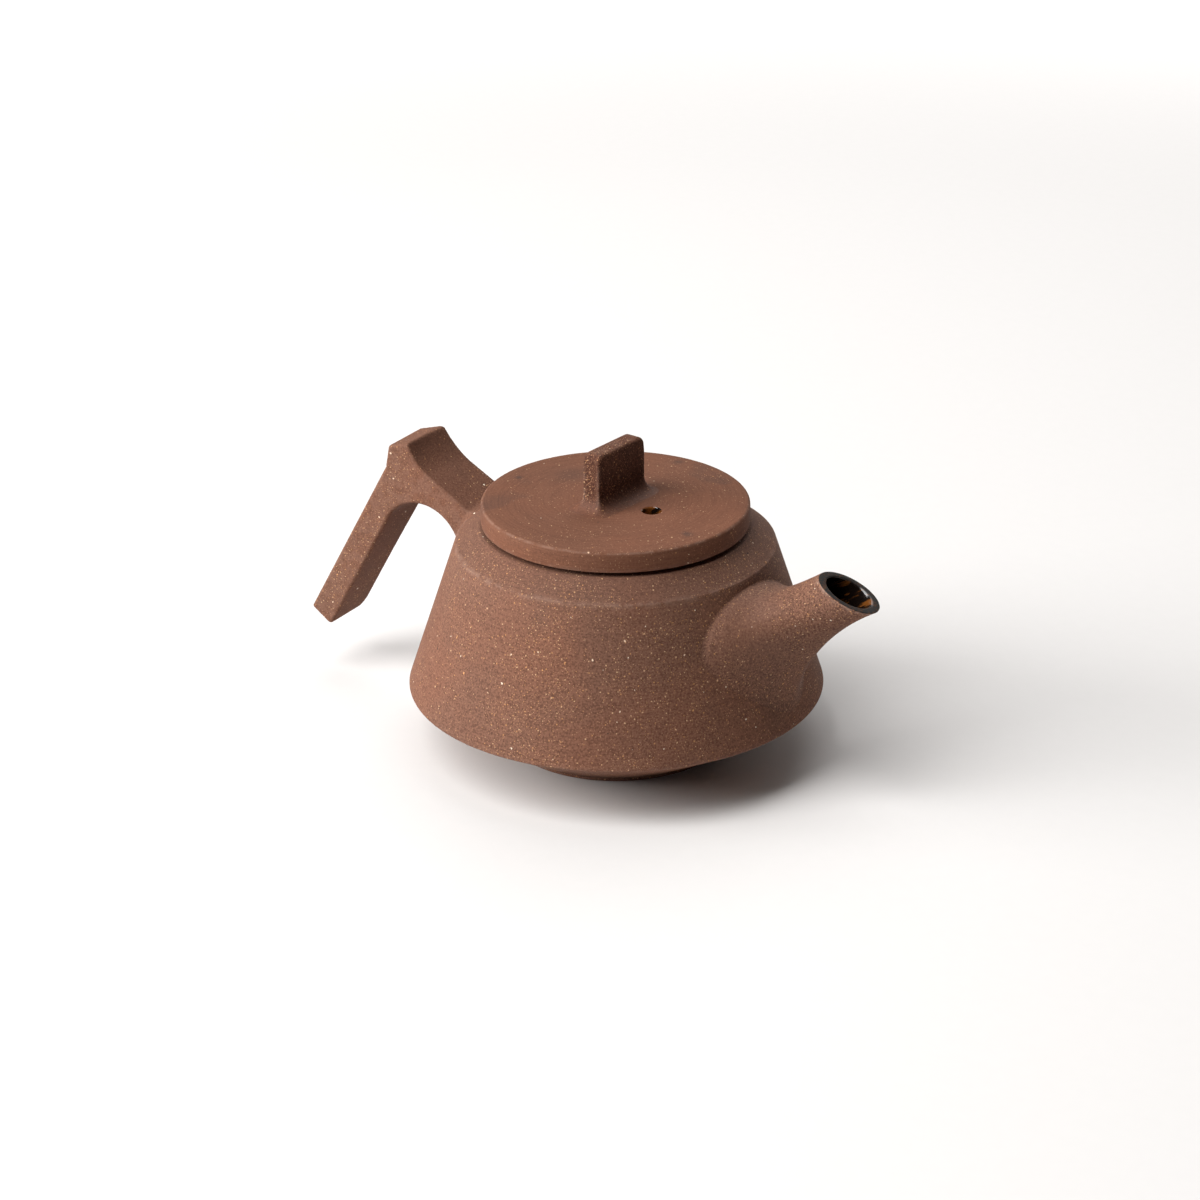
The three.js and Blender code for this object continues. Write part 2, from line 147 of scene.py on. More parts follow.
def soft_chain(corners: list[Corner], gap: float, closed: bool = True) -> np.ndarray:
    """Runs a line through corners and rounds each of them.

    Args:
        corners: first place, second place and rounding radius of each corner.
        gap: widest spacing of points on the straight runs.
        closed: whether the last corner joins the first.

    Returns:
        The points of the line, one row each.
    """
    places = [np.array(corner[:2], float) for corner in corners]
    count = len(places)
    bends = []
    for i, (here, radius) in enumerate(zip(places, (corner[2] for corner in corners))):
        at_end = not closed and i in (0, count - 1)
        if radius <= 0 or at_end:
            bends.append(here[None])
            continue
        back, ahead = places[i - 1] - here, places[(i + 1) % count] - here
        back, ahead = back / np.linalg.norm(back), ahead / np.linalg.norm(ahead)
        half = math.acos(float(np.clip(back @ ahead, -1, 1))) / 2
        middle = here + (back + ahead) / np.linalg.norm(back + ahead) * radius / math.sin(half)
        run, sweep = radius / math.tan(half), math.pi - 2 * half
        start, end = here + back * run - middle, here + ahead * run - middle
        steps = max(3, math.ceil(sweep / ARC_STEP))
        share = np.linspace(0, 1, steps + 1)[:, None]
        arc = (np.sin((1 - share) * sweep) * start + np.sin(share * sweep) * end) / math.sin(sweep)
        bends.append(middle + arc)
    line = []
    for i, bend in enumerate(bends):
        line.append(bend)
        if not closed and i == count - 1:
            break
        start, end = bend[-1], bends[(i + 1) % count][0]
        pieces = max(1, math.ceil(np.linalg.norm(end - start) / gap))
        share = np.linspace(0, 1, pieces + 1)[1:-1, None]
        line.append(start + (end - start) * share)
    return np.concatenate(line)


def quad_rows(rows: int, sides: int, closed: bool) -> list[tuple[int, ...]]:
    """Faces between rings of points, stacked row on row.

    Args:
        rows: number of rings.
        sides: number of points in each ring.
        closed: whether the last ring joins the first.

    Returns:
        The faces, with their outsides to the right of the way from ring to ring.
    """
    low = np.arange(rows if closed else rows - 1)[:, None]
    side = np.arange(sides)[None]
    after, above = (side + 1) % sides, (low + 1) % rows
    quads = np.stack([
        low * sides + side, low * sides + after, above * sides + after, above * sides + side,
    ], axis=-1)
    return [tuple(quad) for quad in quads.reshape(-1, 4).tolist()]


def thrown(line: np.ndarray, sides: int = 240) -> Skin:
    """Turns a line on the wheel. It runs up the outside and closes on itself or on the axis.

    Args:
        line: radius and height of each point.
        sides: number of points round each ring.

    Returns:
        The turned skin.
    """
    on_axis = line[0, 0] == 0
    rings = line[1:-1] if on_axis else line
    angle = np.linspace(0, 2 * math.pi, sides, endpoint=False)
    radius, height = rings[:, :1], rings[:, 1:]
    points = np.stack([
        radius * np.cos(angle), radius * np.sin(angle), height + 0 * angle,
    ], axis=-1).reshape(-1, 3)
    faces = quad_rows(len(rings), sides, not on_axis)
    if on_axis:
        first, last = len(points), (len(rings) - 1) * sides
        poles = [[0, 0, line[0, 1]], [0, 0, line[-1, 1]]]
        points = np.concatenate([points, poles])
        for i in range(sides):
            after = (i + 1) % sides
            faces += [(first, after, i), (first + 1, last + i, last + after)]
    return Skin(points, faces)


def carved(clay: Distance, low: Corner, high: Corner, step: float) -> Skin:
    """Forms the skin of the clay that a distance describes, as a net of quads.

    Args:
        clay: distance of points from the clay, negative inside it.
        low: lowest corner of the room that holds the clay.
        high: highest corner of that room.
        step: mesh width.

    Returns:
        The skin, with its points drawn onto the clay's surface.
    """
    axes = [np.arange(a, b + step, step) for a, b in zip(low, high)]
    room = np.stack(np.meshgrid(*axes, indexing="ij"), axis=-1)
    value = clay(room.reshape(-1, 3)).reshape(room.shape[:3])
    cells = np.array(value.shape) - 1
    total, count = np.zeros((*cells, 3)), np.zeros(cells)

    def corner_of(offset: list[int]) -> np.ndarray:
        """Values at one corner of every cell."""
        return value[tuple(slice(o, o + n) for o, n in zip(offset, cells))]

    for axis in range(3):
        for other in ((0, 0), (0, 1), (1, 0), (1, 1)):
            start = list(other)
            start.insert(axis, 0)
            end = start.copy()
            end[axis] = 1
            a, b = corner_of(start), corner_of(end)
            crossed = (a < 0) != (b < 0)
            share = np.where(crossed, a / np.where(crossed, a - b, 1), 0)
            place = np.array(start, float) + share[..., None] * np.eye(3)[axis]
            total += np.where(crossed[..., None], place, 0)
            count += crossed
    filled = count > 0
    number = np.full(tuple(cells), -1)
    number[filled] = np.arange(int(filled.sum()))
    points = np.array(low) + step * (np.argwhere(filled) + total[filled] / count[filled][:, None])
    faces = []
    for axis in range(3):
        u, v = (axis + 1) % 3, (axis + 2) % 3
        a, b = np.delete(value, -1, axis), np.delete(value, 0, axis)
        for inside_first in (True, False):
            edges = np.argwhere((a < 0) & (b >= 0) if inside_first else (a >= 0) & (b < 0))
            ring = []
            for du, dv in ((-1, -1), (0, -1), (0, 0), (-1, 0)):
                cell = edges.copy()
                cell[:, u] += du
                cell[:, v] += dv
                ring.append(number[tuple(cell.T)])
            quads = np.stack(ring if inside_first else ring[::-1], axis=-1)
            faces += [tuple(quad) for quad in quads.tolist()]
    nudge, passes, least_steep = 0.02, 4, 0.05
    for _ in range(passes):
        slope = np.stack([
            (clay(points + nudge * way) - clay(points - nudge * way)) / (2 * nudge)
            for way in np.eye(3)
        ], axis=-1)
        steep = np.maximum((slope ** 2).sum(1), least_steep)
        points = points - slope * np.clip(clay(points) / steep, -step, step)[:, None]
    return Skin(points, faces)


def both(a: np.ndarray, b: np.ndarray, radius: float | np.ndarray) -> np.ndarray:
    """Distance from the clay that two pieces of clay share, with its edge rounded.

    Args:
        a: distance from the first piece.
        b: distance from the second piece.
        radius: radius of the rounded edge.

    Returns:
        The distance from what both hold.
    """
    proud = np.hypot(np.maximum(a + radius, 0), np.maximum(b + radius, 0))
    return np.minimum(np.maximum(a, b), -radius) + proud


def joined(a: np.ndarray, b: np.ndarray, radius: float) -> np.ndarray:
    """Distance from two pieces of clay luted together, with clay run into the corner.

    Args:
        a: distance from the first piece.
        b: distance from the second piece.
        radius: radius of the hollow run of clay between them.

    Returns:
        The distance from either piece.
    """
    return -both(-a, -b, radius)


def outline_distance(places: np.ndarray, outline: np.ndarray) -> np.ndarray:
    """Distance of flat points from a closed outline.

    Args:
        places: flat points, one row each.
        outline: corners of the outline, one row each.

    Returns:
        The distances, negative inside the outline.
    """
    nearest = np.full(len(places), np.inf)
    inside = np.zeros(len(places), bool)
    for start, end in zip(outline, np.roll(outline, -1, axis=0)):
        way, rest = end - start, places - start
        share = np.clip(rest @ way / (way @ way), 0, 1)[:, None]
        nearest = np.minimum(nearest, ((rest - share * way) ** 2).sum(1))
        if start[1] != end[1]:
            spans = (start[1] <= places[:, 1]) != (end[1] <= places[:, 1])
            across = start[0] + (places[:, 1] - start[1]) / (end[1] - start[1]) * way[0]
            inside ^= spans & (places[:, 0] < across)
    return np.sqrt(nearest) * np.where(inside, -1, 1)


def near_line(points: np.ndarray, places: list[tuple[float, float]], reach: float) -> np.ndarray:
    """How close points lie to circles round the upright axis.

    Args:
        points: one row each.
        places: radius and height of each circle.
        reach: distance at which closeness has faded to about a third.

    Returns:
        Closeness from 0 to 1.
    """
    radius = np.hypot(points[:, 0], points[:, 1])
    closeness = np.zeros(len(points))
    for r, z in places:
        apart = np.hypot(radius - r, points[:, 2] - z)
        closeness = np.maximum(closeness, np.exp(-((apart / reach) ** 2)))
    return closeness


def places_of(piece: bpy.types.Object) -> np.ndarray:
    """Reads the points of a piece, in millimetres.

    Args:
        piece: a mesh object.

    Returns:
        The points, one row each.
    """
    flat = np.empty(len(piece.data.vertices) * 3, np.float32)
    piece.data.vertices.foreach_get("co", flat)
    return flat.reshape(-1, 3).astype(float) / MM


def mark(piece: bpy.types.Object, trait: Trait, values: np.ndarray) -> None:
    """Writes a trait of each point into the mesh, where the material reads it.

    Args:
        piece: a mesh object.
        trait: what the values say.
        values: one number from 0 to 1 for each point.
    """
    layer = piece.data.attributes.new(trait.value, "FLOAT", "POINT")
    layer.data.foreach_set("value", np.clip(values, 0, 1).astype(np.float32))


def pierced(piece: bpy.types.Object, drills: Skin) -> bpy.types.Object:
    """Takes drills out of a piece and shades the new edges sharp.

    Args:
        piece: a mesh object, which is changed.
        drills: the skin of what is taken away.

    Returns:
        The same piece.
    """
    drill = drills.piece(piece.name + "_drill")
    cut = piece.modifiers.new("cut", "BOOLEAN")
    cut.operation, cut.solver, cut.object = "DIFFERENCE", "EXACT", drill
    graph = bpy.context.evaluated_depsgraph_get()
    mesh = bpy.data.meshes.new_from_object(piece.evaluated_get(graph))
    piece.modifiers.clear()
    old, piece.data = piece.data, mesh
    bpy.data.meshes.remove(old)
    bpy.data.objects.remove(drill)
    mesh.set_sharp_from_angle(angle=math.radians(SHARP_EDGE))
    return piece


def merged(skins: list[Skin]) -> Skin:
    """Puts several skins into one.

    Args:
        skins: skins that don't touch.

    Returns:
        One skin that holds them all.
    """
    faces, start = [], 0
    for skin in skins:
        faces += [tuple(start + corner for corner in face) for face in skin.faces]
        start += len(skin.points)
    return Skin(np.concatenate([skin.points for skin in skins]), faces)


def along_axis(skin: Skin, centre: np.ndarray, axis: np.ndarray) -> Skin:
    """Tips a skin that stands upright until it stands along an axis.

    Args:
        skin: a skin about the upright axis.
        centre: where its origin goes.
        axis: where its upright goes.

    Returns:
        The tipped skin.
    """
    turn = Vector((0, 0, 1)).rotation_difference(Vector(axis)).to_matrix()
    return Skin(skin.points @ np.array(turn).T + centre, skin.faces)


# Finishes


class Bench:
    """Puts nodes into a tree and joins them."""

    def __init__(self, tree: bpy.types.NodeTree) -> None:
        """Takes the tree to work on."""
        self.tree = tree

    def put(self, kind: str, **settings: object) -> bpy.types.Node:
        """Adds a node.

        Args:
            kind: type name of the node.
            settings: properties of the node to set.

        Returns:
            The node.
        """
        node = self.tree.nodes.new(kind)
        for name, value in settings.items():
            setattr(node, name, value)
        return node

    def feed(self, socket: Socket, value: object) -> None:
        """Joins or sets an input.

        Args:
            socket: the input.
            value: an output to join to it, or a plain number or colour.
        """
        if isinstance(value, bpy.types.NodeSocket):
            self.tree.links.new(value, socket)
        elif isinstance(value, tuple) and len(value) == 3 and socket.type == "RGBA":
            socket.default_value = (*value, 1)
        else:
            socket.default_value = value

    def sum(self, operation: str, a: object, b: object = 0.0) -> Socket:
        """Works out a number, which isn't held between 0 and 1.

        Args:
            operation: the sum's name, such as MULTIPLY.
            a: first number.
            b: second number.

        Returns:
            The result.
        """
        node = self.put("ShaderNodeMath", operation=operation)
        self.feed(node.inputs[0], a)
        self.feed(node.inputs[1], b)
        return node.outputs[0]

    def times(self, a: object, b: object) -> Socket:
        """Multiplies two numbers."""
        return self.sum("MULTIPLY", a, b)

    def plus(self, a: object, b: object) -> Socket:
        """Adds two numbers."""
        return self.sum("ADD", a, b)

    def step(self, value: object, low: object, high: object) -> Socket:
        """Rises softly from 0 to 1 between two values.

        Args:
            value: what is looked at.
            low: where the rise starts.
            high: where it ends.

        Returns:
            A mask from 0 to 1.
        """
        node = self.put("ShaderNodeMapRange", interpolation_type="SMOOTHSTEP")
        for socket, given in zip(node.inputs, (value, low, high, 0.0, 1.0)):
            self.feed(socket, given)
        return node.outputs[0]

    def mix(self, sockets: tuple[int, ...], given: tuple, **settings: str) -> Socket:
        """Adds a Mix node.

        Args:
            sockets: numbers of its three inputs and its output.
            given: the share and the two values to mix.
            settings: properties of the node.

        Returns:
            The mixed value.
        """
        node = self.put("ShaderNodeMix", **settings)
        for number, value in zip(sockets, given):
            self.feed(node.inputs[number], value)
        return node.outputs[sockets[-1]]

    def blend(self, share: object, a: object, b: object, how: str = "MIX") -> Socket:
        """Mixes two colours, with as much of the second as the share says."""
        return self.mix(COLOUR_MIX, (share, a, b), data_type="RGBA", blend_type=how)

    def between(self, share: object, a: object, b: object) -> Socket:
        """Mixes two numbers, with as much of the second as the share says."""
        return self.mix(NUMBER_MIX, (share, a, b), data_type="FLOAT")

    def place(self) -> Socket:
        """Reads where a point lies on its piece."""
        return self.put("ShaderNodeTexCoord").outputs["Object"]

    def trait(self, trait: Trait) -> Socket:
        """Reads what the skin says about a point."""
        return self.put("ShaderNodeAttribute", attribute_name=trait.value).outputs["Fac"]

    def noise(self, place: object, size: float, detail: float = 2.0) -> Socket:
        """Makes soft noise with features of a real size.

        Args:
            place: where it is read.
            size: width of a feature in millimetres.
            detail: how many finer layers it has.

        Returns:
            A value about 0.5.
        """
        node = self.put("ShaderNodeTexNoise")
        self.feed(node.inputs["Vector"], place)
        node.inputs["Scale"].default_value = 1 / (size * MM)
        node.inputs["Detail"].default_value = detail
        return node.outputs["Fac"]


def new_group(name: str, takes: dict[str, object], gives: dict[str, str]) -> tuple:
    """Starts a shader node group with named sockets.

    Args:
        name: name of the group.
        takes: inputs, each with a plain number, a colour or the word place.
        gives: outputs, each with its kind, Float or Color.

    Returns:
        The group, a bench for it, its inputs by name and its output node.
    """
    tree = bpy.data.node_groups.new(name, "ShaderNodeTree")
    for label, value in takes.items():
        kind = {float: "Float", tuple: "Color", str: "Vector"}[type(value)]
        socket = tree.interface.new_socket(
            name=label, in_out="INPUT", socket_type="NodeSocket" + kind,
        )
        if kind == "Float":
            socket.default_value = value
        elif kind == "Color":
            socket.default_value = (*value, 1)
    for label, kind in gives.items():
        tree.interface.new_socket(name=label, in_out="OUTPUT", socket_type="NodeSocket" + kind)
    bench = Bench(tree)
    start, end = bench.put("NodeGroupInput"), bench.put("NodeGroupOutput")
    return tree, bench, {s.name: s for s in start.outputs if s.name}, end


@dataclass(frozen=True)
class Patches:
    """Soft patches with ragged edges.

    Attributes:
        size: width of a patch in millimetres.
        detail: how many finer layers its edge has.
        low: noise level where a patch starts.
        high: noise level where it is full.
    """

    size: float
    detail: float
    low: float
    high: float

    def mask(self, bench: Bench, place: Socket) -> Socket:
        """Makes the mask of the patches, from 0 to 1."""
        return bench.step(bench.noise(place, self.size, self.detail), self.low, self.high)


@dataclass(frozen=True)
class Grains:
    """One kind of grain in the clay.

    Attributes:
        cells: cells to the metre, with one grain at most in each.
        size: radius of the largest grain, as a share of a cell's width.
        share: share of the cells that hold a grain.
        cover: how much of the clay's colour a grain hides.
        dark: colour of the darkest grains.
        pale: colour of the palest, or None where all look the same.
        tones: random tones between which the colour goes from dark to pale.
    """

    cells: float
    size: float
    share: float
    cover: float
    dark: Colour
    pale: Colour | None = None
    tones: tuple[float, float] = (0.0, 1.0)

    def strew(
        self, bench: Bench, scattered: bpy.types.NodeTree, amount: Socket | None, colour: Socket,
    ) -> tuple[Socket, Socket]:
        """Strews the grains over the clay.

        Args:
            bench: where the clay's nodes are put.
            scattered: the group of scattered grains.
            amount: by how much their share is multiplied, or None to leave it.
            colour: the clay's colour under them.

        Returns:
            The mask of the grains, and the colour with the grains on it.
        """
        node = bench.put("ShaderNodeGroup", node_tree=scattered)
        share = self.share if amount is None else bench.times(amount, self.share)
        given = {"Place": bench.place(), "Cells": self.cells, "Size": self.size, "Share": share}
        for label, value in given.items():
            bench.feed(node.inputs[label], value)
        mask, tone = node.outputs["Mask"], node.outputs["Tone"]
        own = self.dark
        if self.pale is not None:
            own = bench.blend(bench.step(tone, *self.tones), self.dark, self.pale)
        return mask, bench.blend(bench.times(mask, self.cover), colour, own)


DUST = Grains(cells=2300.0, size=0.5, share=0.5, cover=0.8, dark=(0.36, 0.18, 0.1))
CRUMBS = Grains(
    cells=1250.0, size=0.33, share=0.63, cover=0.85,
    dark=(0.48, 0.23, 0.09), pale=(0.64, 0.4, 0.22), tones=(0.4, 0.9),
)
GRIT = Grains(
    cells=420.0, size=0.15, share=0.42, cover=1.0,
    dark=(0.55, 0.26, 0.1), pale=(0.86, 0.72, 0.55), tones=(0.3, 0.8),
)
IRON = Grains(cells=240.0, size=0.085, share=0.3, cover=0.85, dark=(0.02, 0.02, 0.02))

WARM_PATCHES = Patches(26, 3, 0.36, 0.66)
SMOKY_PATCHES = Patches(17, 2, 0.6, 0.72)
RICH_PATCHES = Patches(15, 2, 0.4, 0.6)
RUBBED_PATCHES = Patches(2.2, 3, 0.36, 0.6)
BURNT_PATCHES = Patches(0.8, 5, 0.5, 0.64)
PAPER_PATCHES = Patches(4, 3, 0.2, 0.8)

SPECKLED: Colour = (0.46, 0.41, 0.4)
# Colour of smoky patches and smudges, and of the painted shade over the pot's shoulder.
SMUDGE_AND_SHADE: Colour = (0.05, 0.033, 0.028)
RUBBED: Colour = (0.4, 0.27, 0.21)
BURNT: Colour = (0.12, 0.06, 0.036)


def grog_group() -> bpy.types.NodeTree:
    """Scattered grains of grog: a mask of the grains and a random tone for each.

    Returns:
        The group.
    """
    tree, bench, takes, end = new_group(
        "scattered_grains",
        {"Place": "place", "Cells": 1000.0, "Size": 0.3, "Share": 0.3},
        {"Mask": "Float", "Tone": "Float"},
    )
    crooked, finer = 0.35, 2.3  # how far the cells are bent, and how much finer the bends are
    smallest, core = 0.45, 0.55  # the smallest grain and a grain's solid core, as shares
    rarity = 2.0  # how much rarer large grains are than small ones
    warp = bench.put("ShaderNodeTexNoise")
    bench.feed(warp.inputs["Vector"], takes["Place"])
    bench.feed(warp.inputs["Scale"], bench.times(takes["Cells"], finer))
    shift = bench.put("ShaderNodeVectorMath", operation="SCALE")
    bench.feed(shift.inputs[0], warp.outputs["Color"])
    bench.feed(shift.inputs["Scale"], bench.sum("DIVIDE", crooked, takes["Cells"]))
    moved = bench.put("ShaderNodeVectorMath", operation="ADD")
    bench.feed(moved.inputs[0], takes["Place"])
    bench.feed(moved.inputs[1], shift.outputs[0])
    cells = bench.put("ShaderNodeTexVoronoi")
    bench.feed(cells.inputs["Vector"], moved.outputs[0])
    bench.feed(cells.inputs["Scale"], takes["Cells"])
    chance = bench.put("ShaderNodeSeparateColor")
    bench.feed(chance.inputs[0], cells.outputs["Color"])
    presence, growth, tone = chance.outputs[0], chance.outputs[1], chance.outputs[2]
    grown = bench.between(bench.sum("POWER", growth, rarity), smallest, 1.0)
    radius = bench.times(takes["Size"], grown)
    outside = bench.step(cells.outputs["Distance"], bench.times(radius, core), radius)
    there = bench.sum("LESS_THAN", presence, takes["Share"])
    bench.feed(end.inputs["Mask"], bench.times(bench.sum("SUBTRACT", 1.0, outside), there))
    bench.feed(end.inputs["Tone"], tone)
    return tree


def trimming_lines(bench: Bench, side: bpy.types.Node) -> Socket:
    """Noise that runs out into lines round the upright axis, as trimming on the wheel leaves.

    Args:
        bench: where the nodes are put.
        side: the node that splits the place on the piece into its parts.

    Returns:
        The noise, a value about 0.5.
    """
    drift, width, detail = 0.05, 0.4, 4
    x, y, z = side.outputs
    squares = bench.plus(bench.sum("POWER", x, 2.0), bench.sum("POWER", y, 2.0))
    radius = bench.sum("POWER", squares, 0.5)
    lathe = bench.put("ShaderNodeCombineXYZ")
    for socket, value, slow in zip(lathe.inputs, (radius, 0.0, z), (x, y, z)):
        bench.feed(socket, bench.plus(value, bench.times(slow, drift)))
    return bench.noise(lathe.outputs[0], width, detail)


def clay_group(scattered: bpy.types.NodeTree) -> bpy.types.NodeTree:
    """Fired clay: its colour with grog in it, its roughness and its sandy relief.

    Args:
        scattered: the group of scattered grains.

    Returns:
        The group.
    """
    tree, bench, takes, end = new_group(
        "fired_clay",
        {
            "Clay": (0.2, 0.1, 0.07), "Warm Clay": (0.2, 0.1, 0.07), "Grog": 1.0,
            "Fine Grog": 1.0, "Mottle": 0.5, "Trim": 0.0, "Smoke": 0.2, "Rub": 0.5, "Sand": 1.0,
        },
        {"Colour": "Color", "Roughness": "Float", "Relief": "Float"},
    )
    place, smooth = bench.place(), bench.trait(Trait.SMOOTH)
    side = bench.put("ShaderNodeSeparateXYZ")
    bench.feed(side.inputs[0], place)
    lines = trimming_lines(bench, side)

    patches = bench.sum("MAXIMUM", WARM_PATCHES.mask(bench, place), smooth)
    colour = bench.blend(patches, takes["Clay"], takes["Warm Clay"])
    speckle_size, speckle_from, speckle_full, speckle_smooth = 0.5, 0.62, 0.34, 0.5
    mottle = bench.between(takes["Trim"], bench.noise(place, speckle_size, 4), lines)
    speckle = bench.times(bench.step(mottle, speckle_from, speckle_full), takes["Mottle"])
    speckle = bench.times(speckle, bench.between(smooth, 1.0, speckle_smooth))
    colour = bench.blend(speckle, colour, SPECKLED, "MULTIPLY")

    # Smoky patches, sooty smudges and the painted shade over the pot's shoulder all darken the clay
    # here.
    smoke_and_shade = bench.times(SMOKY_PATCHES.mask(bench, place), takes["Smoke"])
    smoke_and_shade = bench.sum("MAXIMUM", smoke_and_shade, bench.trait(Trait.SMUDGE_AND_SHADE))
    colour = bench.blend(smoke_and_shade, colour, SMUDGE_AND_SHADE)

    back, front, sparse, rich, rich_smooth = -50 * MM, 45 * MM, 0.6, 1.5, 0.3
    poor_patch, rich_patch = 0.5, 1.5
    dense = bench.between(bench.step(side.outputs[0], back, front), sparse, rich)
    cluster = bench.between(RICH_PATCHES.mask(bench, place), poor_patch, rich_patch)
    cluster = bench.times(cluster, bench.between(smooth, 1.0, rich_smooth))
    dense = bench.times(dense, cluster)
    fine, coarse = (bench.times(takes[name], dense) for name in ("Fine Grog", "Grog"))
    _, colour = DUST.strew(bench, scattered, fine, colour)
    crumbs, colour = CRUMBS.strew(bench, scattered, coarse, colour)
    grit, colour = GRIT.strew(bench, scattered, coarse, colour)
    iron, colour = IRON.strew(bench, scattered, None, colour)

    rub = bench.times(bench.trait(Trait.WORN), RUBBED_PATCHES.mask(bench, place))
    colour = bench.blend(bench.times(rub, takes["Rub"]), colour, RUBBED)
    bench.feed(end.inputs["Colour"], colour)

    rough, burnished, uneven, rough_grit = 0.85, 0.6, 0.07, 0.55
    dry, change = bench.between(smooth, rough, burnished), bench.between(mottle, -uneven, uneven)
    bench.feed(end.inputs["Roughness"], bench.between(grit, bench.plus(dry, change), rough_grit))

    sand_size, sand_height, lump_size, lump_height = 0.38, 0.5, 3.2, 0.6
    grain_height, pit_depth = 0.25, 0.5
    sand = bench.between(takes["Trim"], bench.noise(place, sand_size, 5), lines)
    lumps = bench.times(bench.noise(place, lump_size, 2), lump_height)
    relief = bench.times(bench.plus(bench.times(sand, sand_height), lumps), takes["Sand"])
    raised = bench.times(bench.plus(grit, crumbs), grain_height)
    relief = bench.plus(relief, bench.plus(raised, bench.times(iron, -pit_depth)))
    bench.feed(end.inputs["Relief"], relief)
    return tree


def glaze_group() -> bpy.types.NodeTree:
    """Dark glaze where a skin says so: its ragged mask, its colour and where it runs thin.

    Returns:
        The group.
    """
    tree, bench, takes, end = new_group(
        "dark_glaze",
        {
            "Glaze": (0.007, 0.004, 0.003), "Amber": (0.2, 0.065, 0.012),
            "Dull Glaze": (0.011, 0.008, 0.0065), "Thin": 0.5, "Start": 0.54,
        },
        {"Colour": "Color", "Mask": "Float", "Shine": "Float", "Roughness": "Float"},
    )
    place, dull = bench.place(), bench.trait(Trait.DULL)
    ragged_size, ragged_reach, edge_from, edge_full = 1.3, 0.5, 0.68, 0.82
    ragged = bench.times(bench.noise(place, ragged_size, 3), ragged_reach)
    ragged = bench.plus(bench.trait(Trait.GLAZED), ragged)
    mask = bench.step(ragged, edge_from, edge_full)

    run_slope, run_length, run_size, run_soft = -32.5, 3.5, 2.4, 0.12
    run = bench.put("ShaderNodeMapping", vector_type="TEXTURE")
    bench.feed(run.inputs["Vector"], place)
    run.inputs["Rotation"].default_value = (0, math.radians(run_slope), 0)
    run.inputs["Scale"].default_value = (run_length, 1, 1)
    runs, start = bench.noise(run.outputs[0], run_size, 4), takes["Start"]
    streaks = bench.times(bench.step(runs, start, bench.plus(start, run_soft)), takes["Thin"])
    colour = bench.blend(streaks, takes["Glaze"], takes["Amber"])

    burnt_cover, glossy_from, glossy_to, dull_from, dull_to = 0.6, 0.08, 0.3, 0.7, 1.0
    burnt = BURNT_PATCHES.mask(bench, place)
    ring = bench.blend(bench.times(burnt, burnt_cover), takes["Dull Glaze"], BURNT)
    bench.feed(end.inputs["Colour"], bench.blend(dull, colour, ring))
    bench.feed(end.inputs["Mask"], mask)
    bench.feed(end.inputs["Shine"], bench.times(mask, bench.sum("SUBTRACT", 1.0, dull)))
    glossy = bench.between(bench.noise(place, 2.5, 3), glossy_from, glossy_to)
    matt = bench.between(burnt, dull_from, dull_to)
    bench.feed(end.inputs["Roughness"], bench.between(dull, glossy, matt))
    return tree


